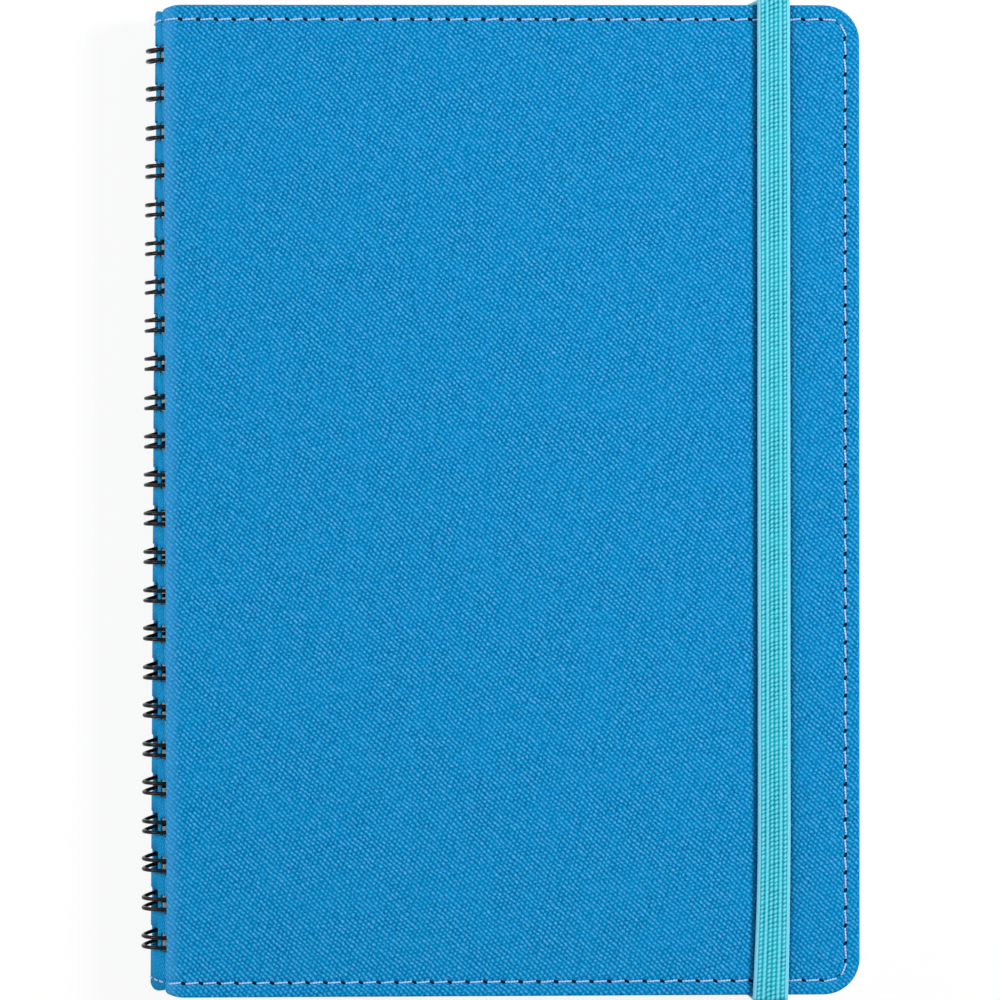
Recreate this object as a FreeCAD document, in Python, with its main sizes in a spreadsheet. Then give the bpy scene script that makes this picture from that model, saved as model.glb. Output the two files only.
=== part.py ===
import FreeCAD, Part

import math
import os

import Sketcher

# A closed spiral notebook lying on its back cover, in millimetres.
# X runs from the spine to the fore edge, Y to the head of the page, Z up.
# The origin is the centre of the footprint, on the surface that the notebook lies on.

Vector = FreeCAD.Vector
X_AXIS = Vector(1, 0, 0)
Y_AXIS = Vector(0, 1, 0)
Z_AXIS = Vector(0, 0, 1)

DIMENSIONS = {
    # covers: a cloth skin with turned edges, a board inside it, and a lining, larger than the leaves
    "head_overhang": 4.0,
    "fore_overhang": 6.1,
    "cover_corner": 8.0,
    "cloth_gauge": 0.5,
    "board_gauge": 1.0,
    "lining_gauge": 0.3,
    "turned_edge": 0.9,
    "edge_round": 0.4,
    # leaves
    "page_width": 146.0,
    "page_height": 210.0,
    "page_gauge": 9.0,
    "page_setback": 0.9,
    # twin-loop wire
    "loop_pitch": 8.467,
    "loop_margin": 5.0,
    "loop_width": 12.4,
    "loop_corner": 3.0,
    "wire_gauge": 0.85,
    "wire_spacing": 2.26,
    "wire_reach": 5.0,
    "wire_seam": 1.5,
    "link_run": 1.0,
    "page_gap": 0.15,
    "cover_gap": 0.25,
    # holes in the leaves and slots in the spine
    "punch_width": 4.4,
    "punch_height": 4.0,
    "punch_clearance": 0.3,
    "slot_height": 3.9,
    "upper_slot_depth": 1.6,
    "lower_slot_depth": 5.0,
    # spine, which leans because the front cover lies further out than the back one
    "spine_lean": 2.6,
    "spine_gauge": 0.5,
    "spine_bulge": 0.2,
    "spine_inset": 1.5,
    "fold_gap": 0.3,
    # saddle stitching round the covers and across the ends of the spine
    "stitch_pitch": 3.9,
    "stitch_length": 2.8,
    "stitch_width": 0.66,
    "stitch_gauge": 0.27,
    "stitch_inset": 3.2,
    "stitch_clearance": 0.02,
    "stitch_corner": 4.0,
    "stitches_across_spine": 3,
    "groove_width": 0.9,
    "groove_depth": 0.3,
    # elastic band, sewn into the head and tail edges of the back cover
    "band_width": 7.2,
    "band_gauge": 0.9,
    "band_from_edge": 19.0,
    "band_gap": 0.3,
    "band_shift": 2.0,
    "band_tab": 4.6,
    "band_clearance": 0.2,
}


class Size:
    """A length worked out from the sheet: its value now, and the expression that binds it to the sheet."""

    def __init__(self, value, text):
        self.value = float(value)
        self.text = text

    @staticmethod
    def of(other):
        if isinstance(other, Size):
            return other
        return Size(other, str(other))

    def combine(self, sign, other, value):
        return Size(value, "(" + self.text + sign + Size.of(other).text + ")")

    def __add__(self, other):
        return self.combine(" + ", other, self.value + Size.of(other).value)

    def __sub__(self, other):
        return self.combine(" - ", other, self.value - Size.of(other).value)

    def __mul__(self, other):
        return self.combine(" * ", other, self.value * Size.of(other).value)

    def __truediv__(self, other):
        return self.combine(" / ", other, self.value / Size.of(other).value)

    def __neg__(self):
        return self * -1

    def floor(self):
        return Size(math.floor(self.value), "floor(" + self.text + ")")


doc = FreeCAD.newDocument("SpiralNotebook")
sheet = doc.addObject("Spreadsheet::Sheet", "Dimensions")
for row, (alias, number) in enumerate(DIMENSIONS.items(), start=1):
    sheet.set("A" + str(row), alias)
    sheet.set("B" + str(row), str(number))
    sheet.setAlias("B" + str(row), alias)
doc.recompute()

size = {alias: Size(getattr(sheet, alias), "Dimensions." + alias) for alias in DIMENSIONS}
ZERO = Size(0, "0")

# The cover is made to the leaves, and the leaves hold as many loops as their height has room for
cover_width = size["page_setback"] + size["page_width"] + size["fore_overhang"]
cover_height = size["page_height"] + size["head_overhang"] * 2
loop_count = ((size["page_height"] - size["loop_margin"] * 2) / size["loop_pitch"]).floor() + 1

# Heights, from the surface up
cover_gauge = size["cloth_gauge"] + size["board_gauge"] + size["lining_gauge"]
wire_room = size["page_gap"] + size["wire_gauge"] + size["cover_gap"]
block_base = cover_gauge + wire_room
block_top = block_base + size["page_gauge"]
front_base = block_top + wire_room
front_top = front_base + cover_gauge
middle_height = block_base + size["page_gauge"] / 2

# Places along X
front_fold_x = (size["wire_reach"] - cover_width) / 2
back_fold_x = front_fold_x - size["spine_lean"]
page_edge_x = front_fold_x + size["page_setback"]
loop_middle_x = front_fold_x - size["wire_reach"] + size["loop_width"] / 2
punch_outer_x = loop_middle_x + size["loop_width"] / 2 + size["punch_clearance"]
band_middle_x = front_fold_x + cover_width - size["band_from_edge"]

# Places along Y
half_height = cover_height / 2
first_loop_y = (loop_count - 1) * size["loop_pitch"] / -2
spine_height = cover_height - size["spine_inset"] * 2


def bind(thing, path, length):
    """Ties one property to the sheet."""
    thing.setExpression(path, length.text)


def bind_place(thing, x=ZERO, y=ZERO, z=ZERO):
    """Ties a piece's place to the sheet."""
    for axis, length in (("x", x), ("y", y), ("z", z)):
        bind(thing, "Placement.Base." + axis, length)


def new_body(name):
    body = doc.addObject("PartDesign::Body", name)
    body.Label = name
    return body


def origin_plane(body, role):
    for feature in body.Origin.OriginFeatures:
        if feature.Role == role:
            return feature
    raise ValueError(role)


def pin_point(sketch, geometry, end, point):
    """Holds one end of a sketch element at a point whose two coordinates are tied to the sheet."""
    for kind, axis_line, length in (("DistanceX", -2, point[0]), ("DistanceY", -1, point[1])):
        if length is ZERO:
            sketch.addConstraint(Sketcher.Constraint("PointOnObject", geometry, end, axis_line))
            continue
        number = sketch.addConstraint(
            Sketcher.Constraint(kind, -1, 1, geometry, end, length.value)
        )
        bind(sketch, "Constraints[" + str(number) + "]", length)


def flat(point):
    return Vector(point[0].value, point[1].value, 0)


def arc_between(start, end, radius, left_turn):
    """The short arc of a given radius between two points, turning left or right."""
    chord = end - start
    middle = (start + end) * 0.5
    height = math.sqrt(max(radius * radius - chord.Length * chord.Length / 4, 0))
    side = Vector(-chord.y, chord.x, 0).normalize()
    if not left_turn:
        side = side * -1
    centre = middle + side * height
    crown = centre + (middle - centre).normalize() * radius
    return Part.Arc(start, crown, end)


def closed_sketch(body, name, plane_role, points, rounds=None):
    """A closed outline through the points; rounds gives the radius and turn of the arc after a point."""
    rounds = rounds or {}
    sketch = body.newObject("Sketcher::SketchObject", name)
    sketch.AttachmentSupport = [(origin_plane(body, plane_role), "")]
    sketch.MapMode = "FlatFace"
    count = len(points)
    starts = []
    ends = []
    for index in range(count):
        start = flat(points[index])
        end = flat(points[(index + 1) % count])
        if index in rounds:
            radius, left_turn = rounds[index]
            sketch.addGeometry(arc_between(start, end, radius.value, left_turn), False)
            starts.append(1 if left_turn else 2)
            ends.append(2 if left_turn else 1)
        else:
            sketch.addGeometry(Part.LineSegment(start, end), False)
            starts.append(1)
            ends.append(2)
    for index in range(count):
        following = (index + 1) % count
        sketch.addConstraint(
            Sketcher.Constraint("Coincident", index, ends[index], following, starts[following])
        )
    for index in range(count):
        pin_point(sketch, index, starts[index], points[index])
    for index, (radius, left_turn) in rounds.items():
        number = sketch.addConstraint(Sketcher.Constraint("Radius", index, radius.value))
        bind(sketch, "Constraints[" + str(number) + "]", radius)
    doc.recompute()
    return sketch


def rectangle(low_x, high_x, low_y, high_y):
    return [(low_x, low_y), (high_x, low_y), (high_x, high_y), (low_x, high_y)]


def pad(body, name, sketch, length, both_ways=False):
    feature = body.newObject("PartDesign::Pad", name)
    feature.Profile = sketch
    bind(feature, "Length", length)
    feature.Midplane = both_ways
    doc.recompute()
    return feature


def pocket(body, name, sketch, depth, reverse=False, both_ways=False):
    """Cuts a sketch into the body, and makes sure that it took something away."""
    volume_before = body.Shape.Volume
    feature = body.newObject("PartDesign::Pocket", name)
    feature.Profile = sketch
    bind(feature, "Length", depth)
    feature.Midplane = both_ways
    feature.Reversed = reverse
    doc.recompute()
    if body.Shape.Volume >= volume_before:
        raise ValueError(name + " cuts nothing")
    return feature


def repeat_along_spine(body, name, feature, sketch):
    """Repeats a cut once for each loop of the wire."""
    pattern = body.newObject("PartDesign::LinearPattern", name)
    pattern.Originals = [feature]
    pattern.Direction = (origin_plane(body, "Y_Axis"), [""])
    pattern.Mode = "Spacing"
    bind(pattern, "Offset", size["loop_pitch"])
    bind(pattern, "Occurrences", loop_count)
    body.Tip = pattern
    doc.recompute()
    return pattern


def edges_where(shape, test):
    return ["Edge" + str(number) for number, edge in enumerate(shape.Edges, start=1) if test(edge)]


def fillet(body, name, base, test, radius):
    feature = body.newObject("PartDesign::Fillet", name)
    feature.Base = (base, edges_where(base.Shape, test))
    bind(feature, "Radius", radius)
    doc.recompute()
    return feature


def panel_outline(inset):
    """A cover's outline, square at the fold and round at the two fore-edge corners."""
    low_x = inset
    high_x = cover_width - inset
    edge_y = half_height - inset
    radius = size["cover_corner"] - inset
    turn_x = cover_width - size["cover_corner"]
    turn_y = half_height - size["cover_corner"]
    points = [
        (low_x, -edge_y),
        (turn_x, -edge_y),
        (high_x, -turn_y),
        (high_x, turn_y),
        (turn_x, edge_y),
        (low_x, edge_y),
    ]
    return points, {1: (radius, True), 3: (radius, True)}


def groove_outline():
    """The sunk line that holds the stitches: along the head, fore edge and tail, open at the fold."""
    outer = size["stitch_inset"] - size["groove_width"] / 2
    inner = size["stitch_inset"] + size["groove_width"] / 2
    outer_radius = size["stitch_corner"] + size["groove_width"] / 2
    inner_radius = size["stitch_corner"] - size["groove_width"] / 2
    turn_x = cover_width - size["stitch_inset"] - size["stitch_corner"]
    turn_y = half_height - size["stitch_inset"] - size["stitch_corner"]
    points = [
        (ZERO, -(half_height - outer)),
        (turn_x, -(half_height - outer)),
        (cover_width - outer, -turn_y),
        (cover_width - outer, turn_y),
        (turn_x, half_height - outer),
        (ZERO, half_height - outer),
        (ZERO, half_height - inner),
        (turn_x, half_height - inner),
        (cover_width - inner, turn_y),
        (cover_width - inner, -turn_y),
        (turn_x, -(half_height - inner)),
        (ZERO, -(half_height - inner)),
    ]
    rounds = {
        1: (outer_radius, True),
        3: (outer_radius, True),
        7: (inner_radius, False),
        9: (inner_radius, False),
    }
    return points, rounds


def turn_over(thing):
    """Lays a cover piece face down, for the back cover."""
    thing.Placement = FreeCAD.Placement(Vector(0, 0, 0), FreeCAD.Rotation(X_AXIS, 180))


def place_cover_piece(thing, face_down):
    if face_down:
        turn_over(thing)
        bind_place(thing, back_fold_x, ZERO, cover_gauge)
    else:
        bind_place(thing, front_fold_x, ZERO, front_base)


# Cover pieces, drawn face up from the inside of the cover: lining, board, then cloth

band_slot_half = size["band_width"] / 2 + size["band_clearance"]
tab_middle_x = band_middle_x - size["band_shift"] - back_fold_x
tab_depth = size["turned_edge"] + size["band_tab"]


def band_slots(body, name, depth, plane_height):
    """Leaves room at the head and tail for the sewn-in ends of the elastic band."""
    for end, sign in (("Head", 1), ("Tail", -1)):
        near = half_height * sign
        far = (half_height - tab_depth) * sign
        low_y, high_y = (far, near) if sign > 0 else (near, far)
        outline = rectangle(
            tab_middle_x - band_slot_half, tab_middle_x + band_slot_half, low_y, high_y
        )
        sketch = closed_sketch(body, name + end + "Sketch", "XY_Plane", outline)
        bind(sketch, "AttachmentOffset.Base.z", plane_height)
        doc.recompute()
        pocket(body, name + end, sketch, depth, reverse=True)


def cover_cloth(name, face_down):
    """The outer cloth with its edges turned round the board, and the groove that the stitches lie in."""
    body = new_body(name)
    points, rounds = panel_outline(ZERO)
    outline = closed_sketch(body, name + "Outline", "XY_Plane", points, rounds)
    pad(body, name + "Skin", outline, cover_gauge)
    points, rounds = panel_outline(size["turned_edge"])
    hollow = closed_sketch(body, name + "Inside", "XY_Plane", points, rounds)
    pocket(body, name + "Hollow", hollow, cover_gauge - size["cloth_gauge"], reverse=True)
    points, rounds = groove_outline()
    line = closed_sketch(body, name + "Line", "XY_Plane", points, rounds)
    bind(line, "AttachmentOffset.Base.z", cover_gauge)
    doc.recompute()
    groove = pocket(body, name + "Groove", line, size["groove_depth"])
    if face_down:
        band_slots(body, name + "BandSlot", size["board_gauge"], size["lining_gauge"])
    base = body.Tip
    top = cover_gauge.value
    width = cover_width.value
    reach = half_height.value

    def on_outer_rim(edge):
        box = edge.BoundBox
        level = abs(box.ZMin - top) < 0.001 and abs(box.ZMax - top) < 0.001
        at_side = box.XMax > width - size["cover_corner"].value - 0.01 and box.XMax > width - 0.01
        at_end = abs(box.YMin) > reach - 0.01 and abs(box.YMax) > reach - 0.01
        return level and (at_side or at_end)

    fillet(body, name + "Round", base, on_outer_rim, size["edge_round"])
    place_cover_piece(body, face_down)
    return body


def cover_board(name, face_down):
    """The stiff board that fills the turned cloth."""
    body = new_body(name)
    points, rounds = panel_outline(size["turned_edge"])
    outline = closed_sketch(body, name + "Outline", "XY_Plane", points, rounds)
    bind(outline, "AttachmentOffset.Base.z", size["lining_gauge"])
    doc.recompute()
    pad(body, name + "Sheet", outline, size["board_gauge"])
    if face_down:
        band_slots(body, name + "BandSlot", size["board_gauge"], size["lining_gauge"])
    place_cover_piece(body, face_down)
    return body


def cover_lining(name, face_down):
    """The lining, flush with the turned cloth on the inside of the cover."""
    body = new_body(name)
    points, rounds = panel_outline(size["turned_edge"])
    outline = closed_sketch(body, name + "Outline", "XY_Plane", points, rounds)
    pad(body, name + "Sheet", outline, size["lining_gauge"])
    place_cover_piece(body, face_down)
    return body


def stitch_solid(middle, along):
    """One stitch: a low ridge of thread, seated on its base and running along the seam."""
    half_length = size["stitch_length"].value / 2
    half_width = size["stitch_width"].value / 2
    across = Vector(-along.y, along.x, 0)
    corners = [
        middle - along * half_length - across * half_width,
        middle - along * half_length + across * half_width,
        middle - along * half_length + Z_AXIS * size["stitch_gauge"].value,
    ]
    face = Part.Face(Part.makePolygon(corners + [corners[0]]))
    return face.extrude(along * size["stitch_length"].value)


def seam_stations():
    """Middles and directions of a cover's stitches, from the fold along the head and back along the tail."""
    inset = size["stitch_inset"].value
    radius = size["stitch_corner"].value
    turn_x = cover_width.value - inset - radius
    turn_y = half_height.value - inset - radius
    quarter = math.pi * radius / 2
    total = 2 * turn_x + 2 * quarter + 2 * turn_y
    count = round(total / size["stitch_pitch"].value)
    for index in range(count):
        distance = (index + 0.5) * total / count
        from_end = min(distance, total - distance)
        side = 1 if distance <= total / 2 else -1
        if from_end < turn_x:
            place = Vector(from_end, side * (turn_y + radius), 0)
            heading = 0.0
        elif from_end < turn_x + quarter:
            swing = (from_end - turn_x) / radius
            place = Vector(
                turn_x + radius * math.sin(swing),
                side * (turn_y + radius * math.cos(swing)),
                0,
            )
            heading = -side * swing
        else:
            place = Vector(turn_x + radius, side * (turn_y - (from_end - turn_x - quarter)), 0)
            heading = -side * math.pi / 2
        yield place, Vector(math.cos(heading), math.sin(heading), 0)


def cover_stitching(name, face_down):
    """All the stitches of one cover, sunk in its groove."""
    seat = (cover_gauge - size["groove_depth"]).value
    stitches = [
        stitch_solid(place + Z_AXIS * seat, along) for place, along in seam_stations()
    ]
    feature = doc.addObject("Part::Feature", name)
    feature.Label = name
    feature.Shape = Part.makeCompound(stitches)
    place_cover_piece(feature, face_down)
    return feature


for cover, face_down in (("front", False), ("back", True)):
    cover_cloth(cover + "_cloth", face_down)
    cover_board(cover + "_board", face_down)
    cover_lining(cover + "_lining", face_down)
    cover_stitching(cover + "_stitching", face_down)


# Page block: the leaves as one solid, with one square hole for each loop

page_block = new_body("page_block")
leaf = closed_sketch(
    page_block,
    "LeafOutline",
    "XY_Plane",
    rectangle(
        page_edge_x,
        page_edge_x + size["page_width"],
        size["page_height"] / -2,
        size["page_height"] / 2,
    ),
)
pad(page_block, "Leaves", leaf, size["page_gauge"])
punch = closed_sketch(
    page_block,
    "PunchOutline",
    "XY_Plane",
    rectangle(
        punch_outer_x - size["punch_width"],
        punch_outer_x,
        first_loop_y - size["punch_height"] / 2,
        first_loop_y + size["punch_height"] / 2,
    ),
)
punched = pocket(page_block, "Punch", punch, size["page_gauge"], reverse=True)
repeat_along_spine(page_block, "Punches", punched, punch)
bind_place(page_block, ZERO, ZERO, block_base)


# Spine: a rounded, leaning strip of cloth between the folds, with a slot at each fold for each loop

spine_top = front_base - size["fold_gap"]
spine_foot = cover_gauge + size["fold_gap"]


def spine_profile():
    """The strip's section: its outer face bulges, and its inner face runs one gauge inside."""
    outer_top = front_fold_x - size["spine_gauge"] / 2
    outer_foot = back_fold_x - size["spine_gauge"] / 2
    rise = spine_top - spine_foot
    half_chord_squared = (size["spine_lean"] * size["spine_lean"] + rise * rise) / 4
    bulge = size["spine_bulge"]
    outer_radius = (half_chord_squared + bulge * bulge) / (bulge * 2)
    points = [
        (outer_top, spine_top),
        (outer_foot, spine_foot),
        (outer_foot + size["spine_gauge"], spine_foot),
        (outer_top + size["spine_gauge"], spine_top),
    ]
    return points, {0: (outer_radius, True), 2: (outer_radius, False)}, outer_radius


spine_strip = new_body("spine_strip")
points, rounds, spine_radius = spine_profile()
section = closed_sketch(spine_strip, "SpineSection", "XZ_Plane", points, rounds)
pad(spine_strip, "SpineCloth", section, spine_height, both_ways=True)


def spine_slots(name, low_z, high_z):
    """A row of slots cut through the strip from one of its folds."""
    outline = rectangle(
        first_loop_y - size["slot_height"] / 2,
        first_loop_y + size["slot_height"] / 2,
        low_z,
        high_z,
    )
    sketch = closed_sketch(spine_strip, name + "Outline", "YZ_Plane", outline)
    cut = pocket(spine_strip, name, sketch, cover_width * 2, both_ways=True)
    repeat_along_spine(spine_strip, name + "Row", cut, sketch)


spine_slots("UpperSlot", spine_top - size["upper_slot_depth"], spine_top + size["fold_gap"])
spine_slots("LowerSlot", spine_foot - size["fold_gap"], spine_foot + size["lower_slot_depth"])


def spine_stitching():
    """The few stitches that carry the cover's seam across each end of the spine."""
    stitches = []
    middle_x = (front_fold_x + back_fold_x).value / 2 - size["spine_gauge"].value / 2
    middle_z = (spine_top + spine_foot).value / 2
    lean = size["spine_lean"].value
    rise = (spine_top - spine_foot).value
    chord = math.hypot(lean, rise)
    outward = Vector(-rise, 0, lean) * (1 / chord)
    upward = Vector(lean, 0, rise) * (1 / chord)
    radius = spine_radius.value
    centre = Vector(middle_x, 0, middle_z) + outward * (size["spine_bulge"].value - radius)
    count = int(size["stitches_across_spine"].value)
    seat_radius = radius + size["stitch_clearance"].value
    half_length = size["stitch_length"].value / 2
    half_width = size["stitch_width"].value / 2
    for side in (1, -1):
        seam_y = side * (half_height - size["stitch_inset"]).value
        for index in range(count):
            swing = (index - (count - 1) / 2) * size["stitch_pitch"].value / radius
            normal = outward * math.cos(swing) + upward * math.sin(swing)
            tangent = upward * math.cos(swing) - outward * math.sin(swing)
            seat_point = centre + normal * seat_radius + Y_AXIS * seam_y
            corners = [
                seat_point - tangent * half_length - Y_AXIS * half_width,
                seat_point - tangent * half_length + Y_AXIS * half_width,
                seat_point - tangent * half_length + normal * size["stitch_gauge"].value,
            ]
            face = Part.Face(Part.makePolygon(corners + [corners[0]]))
            stitches.append(face.extrude(tangent * size["stitch_length"].value))
    feature = doc.addObject("Part::Feature", "spine_stitching")
    feature.Label = "spine_stitching"
    feature.Shape = Part.makeCompound(stitches)
    return feature


spine_stitching()


# Binding wire: one wire bent into twin loops. Each loop's two arms meet in a tip, and a
# straight link under the leaves leads on to the next loop.

WIRE_SIDES = 4
ROUND_STEPS = 6
CORNER_STEPS = 1


def loop_outline():
    """One arm's centre line as (x, z) pairs, from the link, round through the leaves, to the tip."""
    half_width = (size["loop_width"] - size["wire_gauge"]).value / 2
    half_rise = (size["page_gauge"] + size["wire_gauge"]).value / 2 + size["page_gap"].value
    round_x = half_rise - half_width
    link_x = round_x + size["wire_seam"].value
    corner_room = half_width - link_x - size["link_run"].value
    corner = min(size["loop_corner"].value, corner_room, half_rise)
    points = [(link_x, -half_rise)]
    corner_x = half_width - corner
    corner_z = half_rise - corner
    for centre_z, first_angle in ((-corner_z, -90), (corner_z, 0)):
        for step in range(CORNER_STEPS + 1):
            angle = math.radians(first_angle + 90 * step / CORNER_STEPS)
            points.append(
                (corner_x + corner * math.cos(angle), centre_z + corner * math.sin(angle))
            )
    for step in range(ROUND_STEPS + 1):
        angle = math.radians(90 + 180 * step / ROUND_STEPS)
        points.append((round_x + half_rise * math.cos(angle), half_rise * math.sin(angle)))
    return points


def wire_path():
    """The whole wire's centre line, arm after arm along the spine."""
    outline = loop_outline()
    path = []
    for number in range(int(loop_count.value)):
        loop_y = first_loop_y.value + number * size["loop_pitch"].value
        for side, run in ((-1, outline), (1, outline[::-1])):
            arm_y = loop_y + side * size["wire_spacing"].value / 2
            path.extend(
                Vector(loop_middle_x.value + x, arm_y, middle_height.value + z) for x, z in run
            )
    return path


def mitred_rod(path, radius, sides):
    """A rod of constant section along straight runs, mitred where they meet."""
    first = (path[1] - path[0]).normalize()
    across = Y_AXIS.cross(first).normalize()
    upright = first.cross(across).normalize()
    ring = []
    for side in range(sides):
        angle = 2 * math.pi * side / sides
        ring.append(
            path[0] + across * (radius * math.cos(angle)) + upright * (radius * math.sin(angle))
        )
    faces = [Part.Face(Part.makePolygon(ring + [ring[0]]))]
    for index in range(1, len(path)):
        run = (path[index] - path[index - 1]).normalize()
        normal = run
        if index + 1 < len(path):
            normal = run + (path[index + 1] - path[index]).normalize()
        following = [
            point + run * ((path[index] - point).dot(normal) / run.dot(normal)) for point in ring
        ]
        for side in range(sides):
            other = (side + 1) % sides
            corners = [ring[side], ring[other], following[other], following[side]]
            faces.append(Part.Face(Part.makePolygon(corners + [corners[0]])))
        ring = following
    faces.append(Part.Face(Part.makePolygon(ring + [ring[0]])))
    shell = Part.makeCompound(faces)
    shell.sewShape()
    solid = Part.Solid(shell.Shells[0])
    if solid.Volume < 0:
        solid.reverse()
    return solid


binding_wire = doc.addObject("Part::Feature", "binding_wire")
binding_wire.Label = "binding_wire"
binding_wire.Shape = mitred_rod(wire_path(), size["wire_gauge"].value / 2, WIRE_SIDES)


# Elastic band: over the front cover, down past the head and tail, and into the back cover's edge

def band_solid():
    """The band as one flat strip whose upright stretches slant to where its ends are sewn in."""
    width = size["band_width"].value
    gauge = size["band_gauge"].value
    gap = size["band_gap"].value
    shift = size["band_shift"].value
    left = band_middle_x.value - width / 2
    under = front_top.value + gap
    inside = half_height.value + gap
    tab_base = size["cloth_gauge"].value + (size["board_gauge"].value - gauge) / 2
    tab_reach = tab_depth.value - size["band_clearance"].value
    run = Part.makeBox(width, 2 * inside, gauge, Vector(left, -inside, under))
    pieces = [run]
    for side in (1, -1):
        start_y = inside if side > 0 else -inside - gauge
        corner = Part.makeCylinder(
            gauge, width, Vector(left, side * inside, under), X_AXIS, 360
        )
        quarter = Part.makeBox(width, gauge, gauge, Vector(left, start_y, under))
        pieces.append(corner.common(quarter))
        fall = [
            Vector(left, start_y, under),
            Vector(left + width, start_y, under),
            Vector(left + width - shift, start_y, tab_base),
            Vector(left - shift, start_y, tab_base),
        ]
        pieces.append(Part.Face(Part.makePolygon(fall + [fall[0]])).extrude(Y_AXIS * gauge))
        tab_y = inside - gap - tab_reach if side > 0 else -inside
        tab = Part.makeBox(width, tab_reach + gap, gauge, Vector(left - shift, tab_y, tab_base))
        pieces.append(tab)
    return pieces[0].multiFuse(pieces[1:]).removeSplitter()


elastic_band = doc.addObject("Part::Feature", "elastic_band")
elastic_band.Label = "elastic_band"
elastic_band.Shape = band_solid()


# Checks, then one file for each piece

doc.recompute()
for thing in doc.Objects:
    if "Invalid" in thing.State or "Error" in thing.State:
        raise ValueError(thing.Name + " failed: " + str(thing.State))

pieces = [
    thing
    for thing in doc.Objects
    if thing.TypeId in ("PartDesign::Body", "Part::Feature")
]
os.makedirs("parts", exist_ok=True)
for piece in pieces:
    shape = piece.Shape
    if shape.isNull() or not shape.isValid() or not shape.Solids:
        raise ValueError(piece.Label + " has no sound solid")
for piece in pieces:
    piece.Shape.exportStep("parts/" + piece.Label + ".step")
    print(piece.Label, len(piece.Shape.Solids), "solids", round(piece.Shape.Volume, 1), "mm3")
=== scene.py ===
"""Dresses a closed spiral notebook: denim covers, sewn seams, twin-loop wire and elastic band.

Everything is in metres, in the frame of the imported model: X runs from the spine to the fore
edge, Y to the head of the page, and Z up from the surface that the notebook lies on.
"""

import logging
import math
import random
from collections.abc import Iterator, Sequence
from dataclasses import dataclass, field
from enum import Enum

import bmesh
import bpy
from mathutils import Euler, Matrix, Vector


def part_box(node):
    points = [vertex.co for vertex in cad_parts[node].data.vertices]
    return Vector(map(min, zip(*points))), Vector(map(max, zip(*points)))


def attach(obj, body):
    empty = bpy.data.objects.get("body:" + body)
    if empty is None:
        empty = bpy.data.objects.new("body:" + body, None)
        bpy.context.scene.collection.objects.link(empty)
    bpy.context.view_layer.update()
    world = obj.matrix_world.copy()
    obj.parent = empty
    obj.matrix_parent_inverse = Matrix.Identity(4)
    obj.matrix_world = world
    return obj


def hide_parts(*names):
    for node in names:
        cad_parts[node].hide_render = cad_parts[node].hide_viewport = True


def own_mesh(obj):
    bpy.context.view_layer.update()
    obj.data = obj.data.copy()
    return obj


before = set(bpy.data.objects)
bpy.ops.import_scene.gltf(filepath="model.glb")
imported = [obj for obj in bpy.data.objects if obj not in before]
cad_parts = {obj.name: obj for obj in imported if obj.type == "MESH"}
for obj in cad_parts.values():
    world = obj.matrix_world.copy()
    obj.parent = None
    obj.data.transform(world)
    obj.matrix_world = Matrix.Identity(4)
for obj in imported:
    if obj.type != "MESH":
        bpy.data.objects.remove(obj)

LOG = logging.getLogger("notebook")
MM = 0.001
SEED = 24

Colour = tuple[float, float, float, float]
Feed = bpy.types.NodeSocket | float | Sequence[float]
Ring = Sequence[Vector]


class Fold(Enum):
    """Which way a cover faces."""

    FACE_UP = "front"
    FACE_DOWN = "back"


def paint(red: int, green: int, blue: int) -> Colour:
    """Turns a screen colour into the linear colour that a shader takes.

    Args:
        red: Red from 0 to 255.
        green: Green from 0 to 255.
        blue: Blue from 0 to 255.

    Returns:
        The linear colour, opaque.
    """
    linear = []
    for channel in (red, green, blue):
        share = channel / 255
        linear.append(share / 12.92 if share <= 0.04045 else ((share + 0.055) / 1.055) ** 2.4)
    return (linear[0], linear[1], linear[2], 1.0)


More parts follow.
